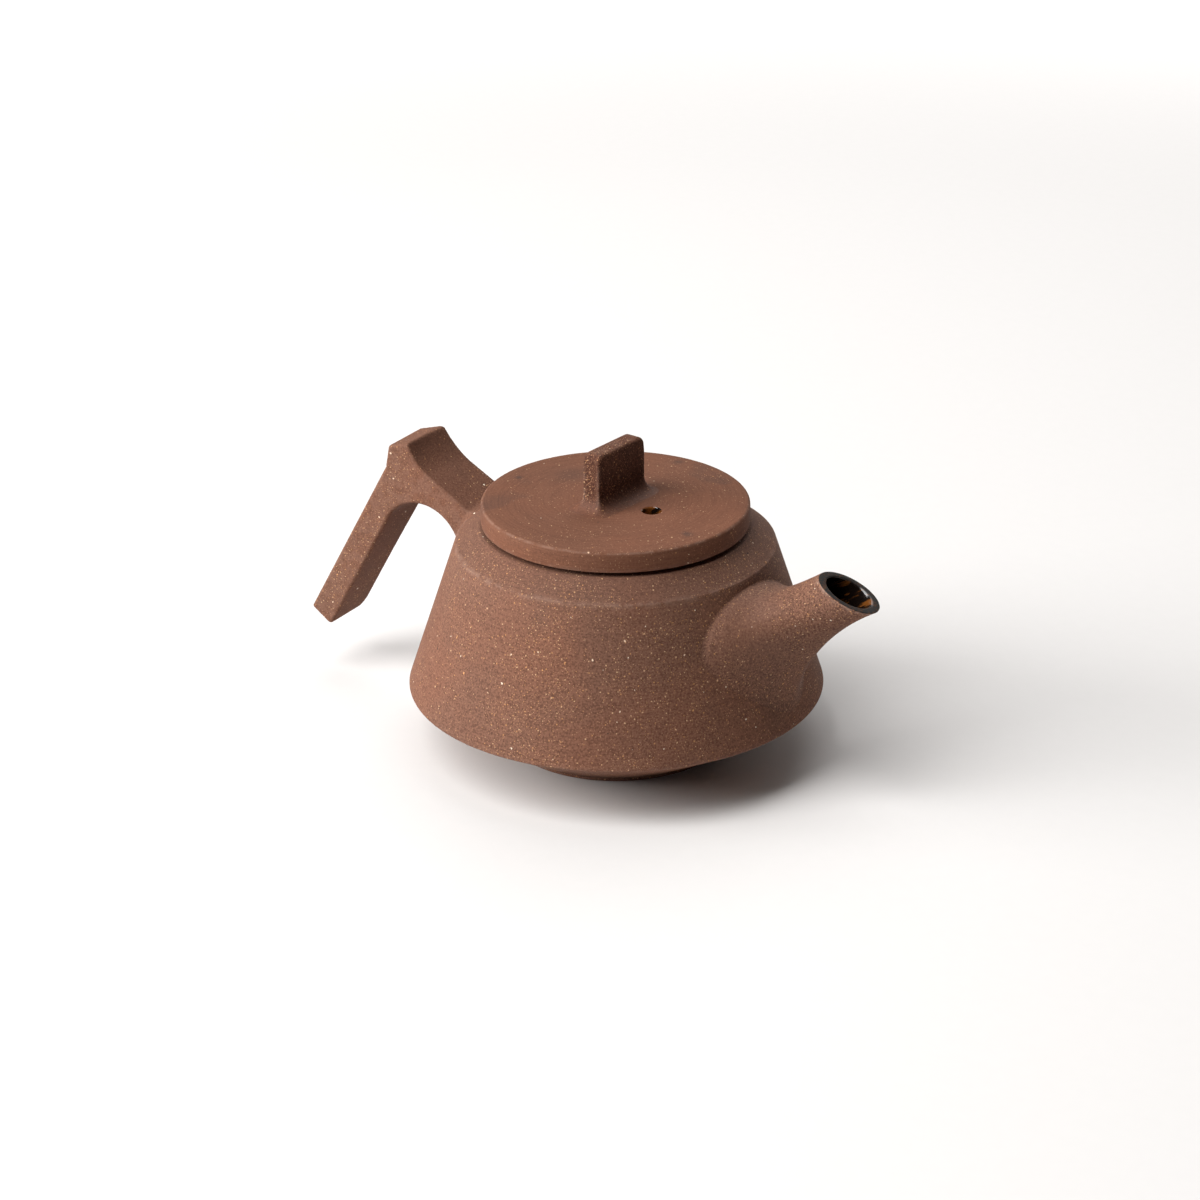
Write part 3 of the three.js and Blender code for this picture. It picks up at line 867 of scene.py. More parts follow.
@dataclass(frozen=True)
class Stoneware:
    """Stoneware with grog in it, and dark glaze where the skin is marked for it.

    Attributes:
        clay: colour of the clay.
        warm: colour of its warmer patches.
        grog: how much coarse grog shows.
        fine: how much fine grog shows.
        mottle: how strongly the clay itself is speckled.
        trim: how much the speckle runs out into the lines of trimming on the wheel.
        smoke_and_shade: how dark the smoky patches are.
        rub: how pale the worn edges are.
        sand: how sandy the surface feels.
        glazed: whether the piece has glaze on it.
        thin: how much amber shows through the glaze.
        start: noise level where the glaze starts to run thin.
        sheen: how much the clay mirrors.
        coat_rough: how rough the glaze's clear coat is.
        bump: how strongly the relief shows.
        bump_height: height of the relief in millimetres.
        bump_glazed: how much of the relief the glaze leaves.
    """

    clay: Colour = (0.188, 0.091, 0.059)
    warm: Colour = (0.209, 0.094, 0.058)
    grog: float = 1.0
    fine: float = 1.0
    mottle: float = 1.0
    trim: float = 0.0
    smoke_and_shade: float = 0.15
    rub: float = 0.2
    sand: float = 1.0
    glazed: bool = False
    thin: float = 0.5
    start: float = 0.54
    sheen: float = 0.2
    coat_rough: float = 0.06
    bump: float = 0.75
    bump_height: float = 0.12
    bump_glazed: float = 0.35

    def dress(self, piece: bpy.types.Object, slot: Slot, kiln: "Kiln") -> None:
        """Gives the finish to a piece, as a material of its own.

        Args:
            piece: the piece to dress.
            slot: the record's slot that the piece stands for; not used.
            kiln: the shared node groups.
        """
        material = bpy.data.materials.new(piece.name + "_finish")
        material.use_nodes = True
        bench = Bench(material.node_tree)
        shader = material.node_tree.nodes["Principled BSDF"]
        shader.inputs["Specular IOR Level"].default_value = self.sheen
        shader.inputs["Coat Roughness"].default_value = self.coat_rough
        fired = bench.put("ShaderNodeGroup", node_tree=kiln.clay)
        given = (
            ("Clay", self.clay), ("Warm Clay", self.warm), ("Grog", self.grog),
            ("Fine Grog", self.fine), ("Mottle", self.mottle), ("Trim", self.trim),
            ("Smoke", self.smoke_and_shade), ("Rub", self.rub), ("Sand", self.sand),
        )
        for label, value in given:
            bench.feed(fired.inputs[label], value)
        colour, rough = fired.outputs["Colour"], fired.outputs["Roughness"]
        relief = fired.outputs["Relief"]
        if self.glazed:
            glaze = bench.put("ShaderNodeGroup", node_tree=kiln.glaze)
            bench.feed(glaze.inputs["Thin"], self.thin)
            bench.feed(glaze.inputs["Start"], self.start)
            mask = glaze.outputs["Mask"]
            colour = bench.blend(mask, colour, glaze.outputs["Colour"])
            rough = bench.between(mask, rough, glaze.outputs["Roughness"])
            shine = glaze.outputs["Shine"]
            relief = bench.between(shine, relief, bench.times(relief, self.bump_glazed))
            bench.feed(shader.inputs["Coat Weight"], shine)
        bench.feed(shader.inputs["Base Color"], colour)
        bench.feed(shader.inputs["Roughness"], rough)
        bump = bench.put("ShaderNodeBump")
        bump.inputs["Strength"].default_value = self.bump
        bump.inputs["Distance"].default_value = self.bump_height * MM
        bench.feed(bump.inputs["Height"], relief)
        bench.feed(shader.inputs["Normal"], bump.outputs[0])
        for trait in Trait:
            if trait.value not in piece.data.attributes:
                mark(piece, trait, np.zeros(len(piece.data.vertices)))
        piece.data.materials.clear()
        piece.data.materials.append(material)


@dataclass(frozen=True)
class Kiln:
    """The node groups that every fired piece shares.

    Attributes:
        clay: the group of the fired clay.
        glaze: the group of the dark glaze.
    """

    clay: bpy.types.NodeTree
    glaze: bpy.types.NodeTree

    @staticmethod
    def fire() -> "Kiln":
        """Builds the groups."""
        return Kiln(clay_group(grog_group()), glaze_group())


def settle(piece: bpy.types.Object, body: Body, *nodes: str) -> None:
    """Lets a piece ride on its body in place of its nodes, and logs it.

    Args:
        piece: a dressed piece.
        body: the body that carries it.
        nodes: the nodes that it stands for.
    """
    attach(piece, body.value)
    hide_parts(*nodes)
    LOG.info("%s: %d points, on %s", piece.name, len(piece.data.vertices), body.value)


# The pot


@dataclass
class Pot:
    """The body of the pot: a cone wall with its shoulder on a lower bowl.

    Attributes:
        mouth_radius: inner radius of the mouth.
        rim_radius: outer radius of the flat rim, where the shoulder would meet it.
        rim_height: height of the rim that the lid sits on.
        crease_radius: radius of the soft crease between shoulder and wall.
        crease_height: height of that crease.
        edge_radius: radius of the widest edge.
        edge_height: height of that edge.
        foot_radius: radius of the foot.
        foot_step: height of the foot's upright edge.
        wall: thickness of the wall.
        floor: thickness of the floor.
        seat_depth: how far the mouth runs straight down.
        gap: height of the groove under the lid's edge.
        gap_depth: depth of that groove.
        lip_under: how far the wall's clay reaches down the bowl's slope.
        opening_radius: radius of the spout's opening.
        opening_height: height of its centre, on the outside of the wall.
        opening_play: how much wider than the bore the visible wall is cut.
        shoulder_soft: rounding of the crease where other pieces are luted on.
        under_crease: how far in and down the inner crease lies from the outer.
        belly: radius, height and rounding of the inside above the bowl.
        calm: how much smoother the clay is at the top of the wall.
        calm_from: height from which the wall grows smoother.
        calm_rise: over how much height it does.
        smoke_and_shade: how dark the clay above the crease is, painted shade for the lid's
            overhang.
        finish: finish of both pieces.
    """

    mouth_radius: float = 30.5
    rim_radius: float = 33.2
    rim_height: float = 60.1
    crease_radius: float = 41.1
    crease_height: float = 54.4
    edge_radius: float = 54.0
    edge_height: float = 15.5
    foot_radius: float = 29.5
    foot_step: float = 1.0
    wall: float = 3.0
    floor: float = 4.0
    seat_depth: float = 3.0
    gap: float = 1.1
    gap_depth: float = 1.3
    lip_under: float = 2.5
    opening_radius: float = 10.5
    opening_height: float = 35.9
    opening_play: float = 0.3
    shoulder_soft: float = 0.8
    under_crease: tuple[float, float] = (2.0, 3.5)
    belly: Corner = (48.5, 22.5, 3.0)
    calm: float = 0.3
    calm_from: float = 46.0
    calm_rise: float = 8.0
    smoke_and_shade: float = 0.17
    finish: Stoneware = field(default_factory=lambda: Stoneware(
        mottle=0.85, trim=0.25, glazed=True, thin=0.2,
    ))

    @property
    def lean(self) -> float:
        """Angle of the wall off the upright, in radians."""
        flare = self.edge_radius - self.crease_radius
        return math.atan2(flare, self.crease_height - self.edge_height)

    @property
    def normal(self) -> np.ndarray:
        """Outward normal of the wall on the spout's side."""
        return np.array([math.cos(self.lean), 0, math.sin(self.lean)])

    @property
    def up_wall(self) -> np.ndarray:
        """Way up the wall on the spout's side."""
        return np.array([-math.sin(self.lean), 0, math.cos(self.lean)])

    @property
    def opening(self) -> np.ndarray:
        """Centre of the spout's opening, on the outside of the wall."""
        return np.array([self.wall_radius(self.opening_height), 0, self.opening_height])

    def wall_radius(self, height: float | np.ndarray) -> float | np.ndarray:
        """Outer radius of the wall at a height."""
        return self.edge_radius - (height - self.edge_height) * math.tan(self.lean)

    def distance(self, points: np.ndarray) -> np.ndarray:
        """Distance of points from the outside of the wall and the shoulder.

        Args:
            points: one row each.

        Returns:
            The distances, negative inside the pot.
        """
        radius = np.hypot(points[:, 0], points[:, 1])
        height = points[:, 2] - self.crease_height
        rise = self.rim_height - self.crease_height
        run = self.crease_radius - self.rim_radius
        out = radius - self.crease_radius
        wall = out * math.cos(self.lean) + height * math.sin(self.lean)
        shoulder = (out * rise + height * run) / math.hypot(rise, run)
        return both(wall, shoulder, self.shoulder_soft)

    def under_edge(self) -> tuple[float, float]:
        """Finds where the wall's clay ends under the widest edge, on the bowl's slope.

        Returns:
            The radius and the height.
        """
        run = self.edge_radius - self.foot_radius
        rise = self.edge_height - self.foot_step
        share = self.lip_under / math.hypot(run, rise)
        return self.edge_radius - run * share, self.edge_height - rise * share

    def inner_foot(self) -> tuple[float, float]:
        """Inner edge of the joint between wall and bowl."""
        return self.edge_radius - 2 * self.wall, self.edge_height

    def gap_edge(self) -> tuple[float, float]:
        """Where the shoulder ends, at the narrow gap under the lid."""
        slope = (self.rim_height - self.crease_height) / (self.crease_radius - self.rim_radius)
        return self.rim_radius + self.gap / slope, self.rim_height - self.gap

    def build_wall(self) -> bpy.types.Object:
        """Throws the wall with its shoulder, its rim and the opening for the spout.

        Returns:
            The wall.
        """
        rim, groove, fall = self.rim_height, self.rim_radius - self.gap_depth, 0.05
        inward, down = self.under_crease
        line = soft_chain([
            (*self.under_edge(), 0),
            (self.edge_radius, self.edge_height, 0.45),
            (self.crease_radius, self.crease_height, 0.5),
            (*self.gap_edge(), 0.35),
            (groove, rim - self.gap - fall, 0.3),
            (groove, rim, 0.1),
            (self.mouth_radius, rim, 0.5),
            (self.mouth_radius, rim - self.seat_depth, 0.9),
            (self.crease_radius - inward, self.crease_height - down, 4),
            self.belly,
            (*self.inner_foot(), 0),
        ], 1.2)
        drill, depth = self.opening_radius + self.opening_play, 3 * self.wall
        profile = np.array([[0, -depth], [drill, -depth], [drill, depth], [0, depth]])
        rod = thrown(profile, sides=64)
        wall = pierced(
            thrown(line).piece("clay_wall"), along_axis(rod, self.opening, self.normal),
        )
        points, worn_reach, shade_soft = places_of(wall), 0.3, 0.3
        height = points[:, 2]
        edges = [
            (self.edge_radius, self.edge_height),
            (self.crease_radius, self.crease_height),
        ]
        mark(wall, Trait.WORN, near_line(points, edges, worn_reach))
        mark(wall, Trait.GLAZED, self.inside(points))
        up = np.clip((height - self.calm_from) / self.calm_rise, 0, 1)
        mark(wall, Trait.SMOOTH, self.calm * up)
        # Painted shade: the whole shoulder above the crease is darkened, standing for the shade
        # that the lid casts on it.
        above = np.clip((height - self.crease_height + shade_soft) / (2 * shade_soft), 0, 1)
        mark(wall, Trait.SMUDGE_AND_SHADE, self.smoke_and_shade * above)
        return wall

    def inside(self, points: np.ndarray) -> np.ndarray:
        """How far points are inside the pot, where it is glazed.

        Args:
            points: one row each.

        Returns:
            0 outside and 1 inside.
        """
        shell, shoulder_flare, bowl_flare, bowl_play = 0.6, 1.1, 1.69, 1.5
        seat_bare, seat_soft, hair = 2.2, 1.5, 0.1
        radius, height = np.hypot(points[:, 0], points[:, 1]), points[:, 2]
        under_rim = self.rim_height - height
        shoulder = self.mouth_radius + under_rim * shoulder_flare
        outside = np.minimum(self.wall_radius(height) - shell * self.wall, shoulder)
        bowl = self.foot_radius + (height - self.floor) * bowl_flare + bowl_play
        glazed = (radius < np.minimum(outside, bowl)) * (height > self.floor - hair)
        return glazed * np.clip((under_rim - seat_bare) / seat_soft, 0, 1)

    def build_bowl(self) -> bpy.types.Object:
        """Throws the lower bowl with its foot.

        Returns:
            The bowl.
        """
        line = soft_chain([
            (0, 0, 0),
            (self.foot_radius, 0, 0.4),
            (self.foot_radius, self.foot_step, 0.3),
            (*self.under_edge(), 0),
            (*self.inner_foot(), 0),
            (self.foot_radius - 1, self.floor, 9),
            (0, self.floor, 0),
        ], 1.5, closed=False)
        bowl = thrown(line).piece("clay_bowl")
        points, worn_reach = places_of(bowl), 0.6
        mark(bowl, Trait.WORN, near_line(points, [(self.foot_radius, 0)], worn_reach))
        mark(bowl, Trait.GLAZED, self.inside(points))
        return bowl

    def build(self, kiln: Kiln) -> None:
        """Builds and dresses the wall and the bowl.

        Args:
            kiln: the shared node groups.
        """
        wall, bowl = self.build_wall(), self.build_bowl()
        for piece, node in ((wall, "body_wall"), (bowl, "base_bowl")):
            self.finish.dress(piece, Slot.CLAY, kiln)
            settle(piece, Body.POT, node)


@dataclass
class Spout:
    """The spout: a tube with a flared root and a slanted, glazed mouth.

    Attributes:
        pot: the pot that it is luted onto.
        reach: how far past the pot's widest edge the mouth's centre lies.
        rise: how far above the pot's crease that centre lies.
        slope: how steeply the tube ends, in degrees.
        tilt: how steep the slanted cut is, in degrees.
        mouth_length: outer length of the mouth along the slant.
        mouth_width: outer width of the mouth.
        lip_end: thickness of the lip at the ends of the slant.
        lip_side: thickness of the lip at its sides.
        tube_top: how far the tube runs straight at its top.
        tube_base: how far it does at its underside, and in the bore.
        throat_length: length of the tube's section behind the mouth.
        throat_width: width of that section.
        root_width: width of the root on the wall.
        root_lean: how far the root leans to one side toward its top.
        root_drop: how far under the crease the root's top lies.
        root_lift: how far above the widest edge its bottom lies.
        root_belly: how far above that edge it is widest.
        root_narrow: how much narrower it is at the bottom.
        root_run: width of the clay in the corner at the root.
        root_run_top: the same at the top.
        root_off: how far off the wall the skin sets out toward the mouth.
        root_buried: how deep the spout is keyed into the wall.
        top_hug: how far the top clings to the wall, as a share of the way up it.
        base_hug: the same for the underside.
        side_hug: how far the lower sides cling to the wall, as a share of their width.
        side_grip: the same for the upper sides.
        stance: how far the top stands off the wall where it sets out.
        bore_run: how far the bore runs straight off the wall.
        lip_soft: rounding of the outer edge of the lip.
        bore_soft: rounding of its inner edge.
        burnished: middle of the burnished patch.
        burnished_size: how far that patch reaches.
        skin_count: rings of points along the outside.
        bore_count: rings of points along the bore.
        sides: points in each ring.
        finish: finish of the clay and the glaze.
        NEAR_START: share of the way at which a line's first heading is read.
        NEAR_END: share of the way at which its last heading is read.
    """

    pot: Pot
    reach: float = 13.3
    rise: float = 0.6
    slope: float = 32.5
    tilt: float = 23.0
    mouth_length: float = 17.2
    mouth_width: float = 12.5
    lip_end: float = 2.4
    lip_side: float = 1.6
    tube_top: float = 16.5
    tube_base: float = 20.0
    throat_length: float = 15.6
    throat_width: float = 12.5
    root_width: float = 42.4
    root_lean: float = 5.2
    root_drop: float = 2.2
    root_lift: float = 3.5
    root_belly: float = 22.5
    root_narrow: float = 0.45
    root_run: float = 1.6
    root_run_top: float = 0.6
    root_off: float = 0.3
    root_buried: float = 1.6
    top_hug: float = 0.1
    base_hug: float = 0.34
    side_hug: float = 0.5
    side_grip: float = 0.1
    stance: float = 4.2
    bore_run: float = 8.0
    lip_soft: float = 0.35
    bore_soft: float = 0.8
    burnished: Corner = (45.6, -12.0, 46.6)
    burnished_size: float = 10.0
    skin_count: int = 54
    bore_count: int = 40
    sides: int = 112
    finish: Stoneware = field(default_factory=lambda: Stoneware(
        warm=(0.205, 0.093, 0.057), rub=0.6, glazed=True, thin=0.9, start=0.5, sheen=0.3,
    ))
    NEAR_START: ClassVar[float] = 0.02
    NEAR_END: ClassVar[float] = 0.985

    def around(self) -> np.ndarray:
        """Angles round the spout, from its top over the side away from +Y."""
        return np.linspace(0, 2 * math.pi, self.sides, endpoint=False)

    def axis(self) -> np.ndarray:
        """Way of the tube where it ends."""
        return np.array([math.cos(math.radians(self.slope)), 0, math.sin(math.radians(self.slope))])

    def mouth_ring(self, half_length: float, half_width: float) -> np.ndarray:
        """A ring in the plane of the slanted cut, about the mouth's centre.

        Args:
            half_length: half of its length along the slant.
            half_width: half of its width.

        Returns:
            The ring's points.
        """
        centre = np.array([
            self.pot.edge_radius + self.reach, 0, self.pot.crease_height + self.rise,
        ])
        up = np.array([-math.cos(math.radians(self.tilt)), 0, math.sin(math.radians(self.tilt))])
        angle = self.around()[:, None]
        level = -SIDEWAYS * half_width
        return centre + up * half_length * np.cos(angle) + level * np.sin(angle)

    def topness(self) -> np.ndarray:
        """Finds how much each angle belongs to the top.

        Returns:
            0 at the bottom to 1 at the top.
        """
        reach = 0.65
        share = np.clip(reach + reach * np.cos(self.around()), 0, 1)
        return (share * share * (3 - 2 * share))[:, None]

    def root_ring(self, lift: float) -> tuple[np.ndarray, np.ndarray, np.ndarray]:
        """The root's outline on the wall, with the ways that lead from it.

        Args:
            lift: how far the outline stands off the wall.

        Returns:
            The points of the outline, and for each the way along the wall to the
            opening and the way off the wall.
        """
        pot, angle = self.pot, self.around()
        belly = pot.edge_height + self.root_belly
        above = pot.crease_height - self.root_drop - belly
        below = belly - pot.edge_height - self.root_lift
        height = belly + np.cos(angle) * np.where(np.cos(angle) > 0, above, below)
        radius = pot.wall_radius(height) + lift
        narrow = 1 + self.root_narrow * np.minimum(np.cos(angle), 0)
        up_root = (height - pot.edge_height - self.root_lift) / (above + below)
        across = self.root_width / 2 * narrow * np.sin(angle) + self.root_lean * up_root
        bearing = -across / pot.wall_radius(belly)
        level, upright = np.zeros(len(angle)), np.array([0, 0, 1])
        outward = np.stack([np.cos(bearing), np.sin(bearing), level], axis=-1)
        tangent = np.stack([np.sin(bearing), -np.cos(bearing), level], axis=-1)
        ring = outward * radius[:, None] + upright * height[:, None]
        top = self.topness()
        climb = self.base_hug + (self.top_hug - self.base_hug) * top
        round_wall = self.side_hug + (self.side_grip - self.side_hug) * top
        along = tangent * (radius * bearing)[:, None] * round_wall
        up_wall = upright - math.tan(pot.lean) * outward
        along += up_wall * (pot.opening_height - height)[:, None] * climb
        off = outward * math.cos(pot.lean) + upright * math.sin(pot.lean)
        return ring, along, off

    @staticmethod
    def curve(ends: list[np.ndarray], shares: np.ndarray) -> np.ndarray:
        """Rows of points on a smooth line for each side of the spout.

        Args:
            ends: rings that hold the four points which shape each line.
            shares: how far along each row lies, from 0 to 1.

        Returns:
            The rings of points, row by row.
        """
        t = shares[:, None, None]
        a, b, c, d = (ring[None] for ring in ends)
        return (1 - t) ** 3 * a + 3 * t * (1 - t) ** 2 * b + 3 * t * t * (1 - t) * c + t ** 3 * d

    def skin_rows(self, shares: np.ndarray) -> np.ndarray:
        """Shapes the outer skin.

        Args:
            shares: how far from the root to the mouth each ring lies, from 0 to 1.

        Returns:
            The rings of points, row by row.
        """
        top = self.topness()
        root, _, off = self.root_ring(-TUCK)
        start, along, _ = self.root_ring(self.root_off)
        throat = self.mouth_ring(self.throat_length / 2, self.throat_width / 2)
        lip = self.mouth_ring(self.mouth_length / 2, self.mouth_width / 2)
        tube = self.tube_base + (self.tube_top - self.tube_base) * top
        ahead = start + along + off * self.stance * top
        return self.curve([root, ahead, throat - self.axis() * tube, lip], shares)

    def root_rows(self) -> np.ndarray:
        """Shapes the clay run into the corner at the root.

        Returns:
            The rings of points, from the wall up.
        """
        root, along, _ = self.root_ring(-TUCK)
        away = -self.unit(along)
        rise = self.unit(self.skin_rows(np.array([self.NEAR_START]))[0] - root)
        run = self.corner_run()
        foot = self.on_wall(root + away * run)
        return self.eased(foot, root, root + rise * run)

    def corner_run(self) -> np.ndarray:
        """Finds how wide the clay in the corner at the root is.

        Returns:
            One width for each angle.
        """
        least = 0.15
        at_top = np.clip(np.cos(self.around()), 0, 1)[:, None] ** 2
        width = self.root_run + (self.root_run_top - self.root_run) * at_top
        return width * np.clip(2 * self.topness(), least, 1)

    def on_wall(self, points: np.ndarray) -> np.ndarray:
        """Moves points level onto the outside of the wall, a hair inside it.

        Args:
            points: one row each.

        Returns:
            The moved points.
        """
        radius = np.hypot(points[:, 0], points[:, 1])
        share = (self.pot.wall_radius(points[:, 2]) - TUCK) / radius
        return points * np.stack([share, share, np.ones(len(points))], axis=-1)

    def bore_rows(self, shares: np.ndarray) -> np.ndarray:
        """Shapes the bore.

        Args:
            shares: how far from the mouth to the inside of the wall each ring lies.

        Returns:
            The rings of points, row by row.
        """
        pot, angle = self.pot, self.around()[:, None]
        lip = self.mouth_ring(
            self.mouth_length / 2 - self.lip_end, self.mouth_width / 2 - self.lip_side,
        )
        start = pot.opening - pot.normal * pot.wall
        start = start + pot.up_wall * pot.opening_radius * np.cos(angle)
        start = start - SIDEWAYS * pot.opening_radius * np.sin(angle)
        ahead = start + pot.normal * self.bore_run
        return self.curve([lip, lip - self.axis() * self.tube_base, ahead, start], shares)

    @staticmethod
    def unit(ways: np.ndarray) -> np.ndarray:
        """Brings each way to a length of 1."""
        return ways / np.linalg.norm(ways, axis=1, keepdims=True)

    @staticmethod
    def eased(before: np.ndarray, corner: np.ndarray, after: np.ndarray) -> np.ndarray:
        """Rounds a ring of corners between two rings, over six rings.

        Args:
            before: ring where the rounding starts.
            corner: ring of sharp corners.
            after: ring where the rounding ends.

        Returns:
            The rings of the rounding, row by row.
        """
        t = np.linspace(0, 1, 6)[:, None, None]
        return (1 - t) ** 2 * before + 2 * t * (1 - t) * corner + t * t * after

    def build_skin(self) -> Skin:
        """Forms the outer skin, the rounded lip and the bore as one closed skin.

        Returns:
            The skin.
        """
        crowded, clearance = 1.25, 0.75
        outer = self.skin_rows(np.linspace(0, 1, self.skin_count) ** crowded)
        bore = self.bore_rows(np.linspace(0, 1, self.bore_count))
        lip, inner, soft = outer[-1], bore[0], self.lip_soft
        inward = self.unit(inner - lip)
        back = self.unit(self.skin_rows(np.array([self.NEAR_END]))[0] - lip)
        down = self.unit(self.bore_rows(np.array([self.NEAR_START]))[0] - inner)
        outer_lip = self.eased(lip + back * soft, lip, lip + inward * soft)
        inner_lip = self.eased(
            inner - inward * self.bore_soft, inner, inner + down * self.bore_soft,
        )
        buried, _, _ = self.root_ring(-self.root_buried)
        start, _, _ = self.root_ring(-TUCK)
        run = self.corner_run()[:, 0]
        before_lip = [((lip - ring) @ self.axis()).min() > clearance * soft for ring in outer]
        past_root = [(np.linalg.norm(ring - start, axis=1) > run).all() for ring in outer]
        middle = outer[np.array(before_lip) & np.array(past_root)]
        rows = np.concatenate([
            buried[None], self.root_rows(), middle, outer_lip, inner_lip, bore[2:],
        ])
        return Skin(rows.reshape(-1, 3), quad_rows(len(rows), self.sides, True))

    def build(self, kiln: Kiln) -> None:
        """Builds and dresses the spout.

        Args:
            kiln: the shared node groups.
        """
        worn_below, worn_reach, worn_rows = 0.5, 0.4, 4
        dull_end, dull_rows, smooth_most = 1.5, 2, 0.9
        spout = self.build_skin().piece("clay_spout")
        points = places_of(spout)
        centre = self.mouth_ring(0, 0)[0]
        up = np.array([math.sin(math.radians(self.tilt)), 0, math.cos(math.radians(self.tilt))])
        below_cut = (centre - points) @ up
        rows = np.arange(len(points)) // self.sides
        lip = rows[below_cut < worn_below].min()
        worn = np.exp(-(((below_cut - worn_below) / worn_reach) ** 2))
        mark(spout, Trait.WORN, worn * (rows < lip + worn_rows))
        mark(spout, Trait.GLAZED, np.where(rows > lip + 1, 1.0, 0.0))
        from_patch = np.linalg.norm(points - np.array(self.burnished), axis=1)
        smooth = np.exp(-((from_patch / self.burnished_size) ** 2))
        mark(spout, Trait.SMOOTH, smooth_most * smooth)
        past_ring = rows - (rows.max() - self.bore_count - 3)
        dull = np.clip(dull_end - past_ring / dull_rows, 0, 1)
        mark(spout, Trait.DULL, (rows > lip + 1) * dull)
        self.finish.dress(spout, Slot.CLAY, kiln)
        settle(spout, Body.POT, "spout")


@dataclass
class Strainer:
    """The pierced dome that is luted over the spout's opening, inside the pot.

    Attributes:
        pot: the pot that it is luted into.
        lap: how far its foot stands outside the opening.
        depth: how far it bulges into the pot.
        wall: thickness of the dome.
        keyed: how deep its foot is pressed into the pot's wall.
        hole: width of a hole.
        step: turn from one ring of holes to the next, in degrees.
        rings: rings of holes round the middle one.
        finish: finish of the glazed dome.
    """

    pot: Pot
    lap: float = 2.7
    depth: float = 9.5
    wall: float = 2.0
    keyed: float = 0.6
    hole: float = 1.8
    step: float = 16.0
    rings: int = 3
    finish: Stoneware = field(default_factory=lambda: Stoneware(glazed=True, thin=0.6))

    def build(self, kiln: Kiln) -> None:
        """Builds, pierces and dresses the strainer.

        Args:
            kiln: the shared node groups.
        """
        pot, deep, half = self.pot, self.wall, self.hole / 2
        base = pot.opening_radius + self.lap
        radius = (base ** 2 + self.depth ** 2) / (2 * self.depth)
        centre = pot.opening + pot.normal * (radius - self.depth - pot.wall)
        root = radius - self.depth - self.keyed
        arcs = []
        for size in (radius, radius - self.wall):
            angle = np.linspace(0, math.acos(root / size), 22)
            arcs.append(np.stack([size * np.sin(angle), -size * np.cos(angle)], axis=-1))
        shell = thrown(np.concatenate([arcs[0], arcs[1][::-1]]), sides=96)
        dome = along_axis(shell, centre, pot.normal).piece("glazed_strainer")
        rod = thrown(np.array([[0, -deep], [half, -deep], [half, deep], [0, deep]]), sides=18)
        rods = []
        for ring in range(self.rings + 1):
            tilt, count = math.radians(self.step * ring), max(1, 6 * ring)
            for i in range(count):
                spin = 2 * math.pi * i / count
                way = -pot.normal * math.cos(tilt) + pot.up_wall * math.sin(tilt) * math.cos(spin)
                way = way + SIDEWAYS * math.sin(tilt) * math.sin(spin)
                rods.append(along_axis(rod, centre + way * (radius - self.wall / 2), way))
        pierced(dome, merged(rods))
        mark(dome, Trait.GLAZED, np.ones(len(dome.data.vertices)))
        self.finish.dress(dome, Slot.GLAZE, kiln)
        settle(dome, Body.POT, "strainer")


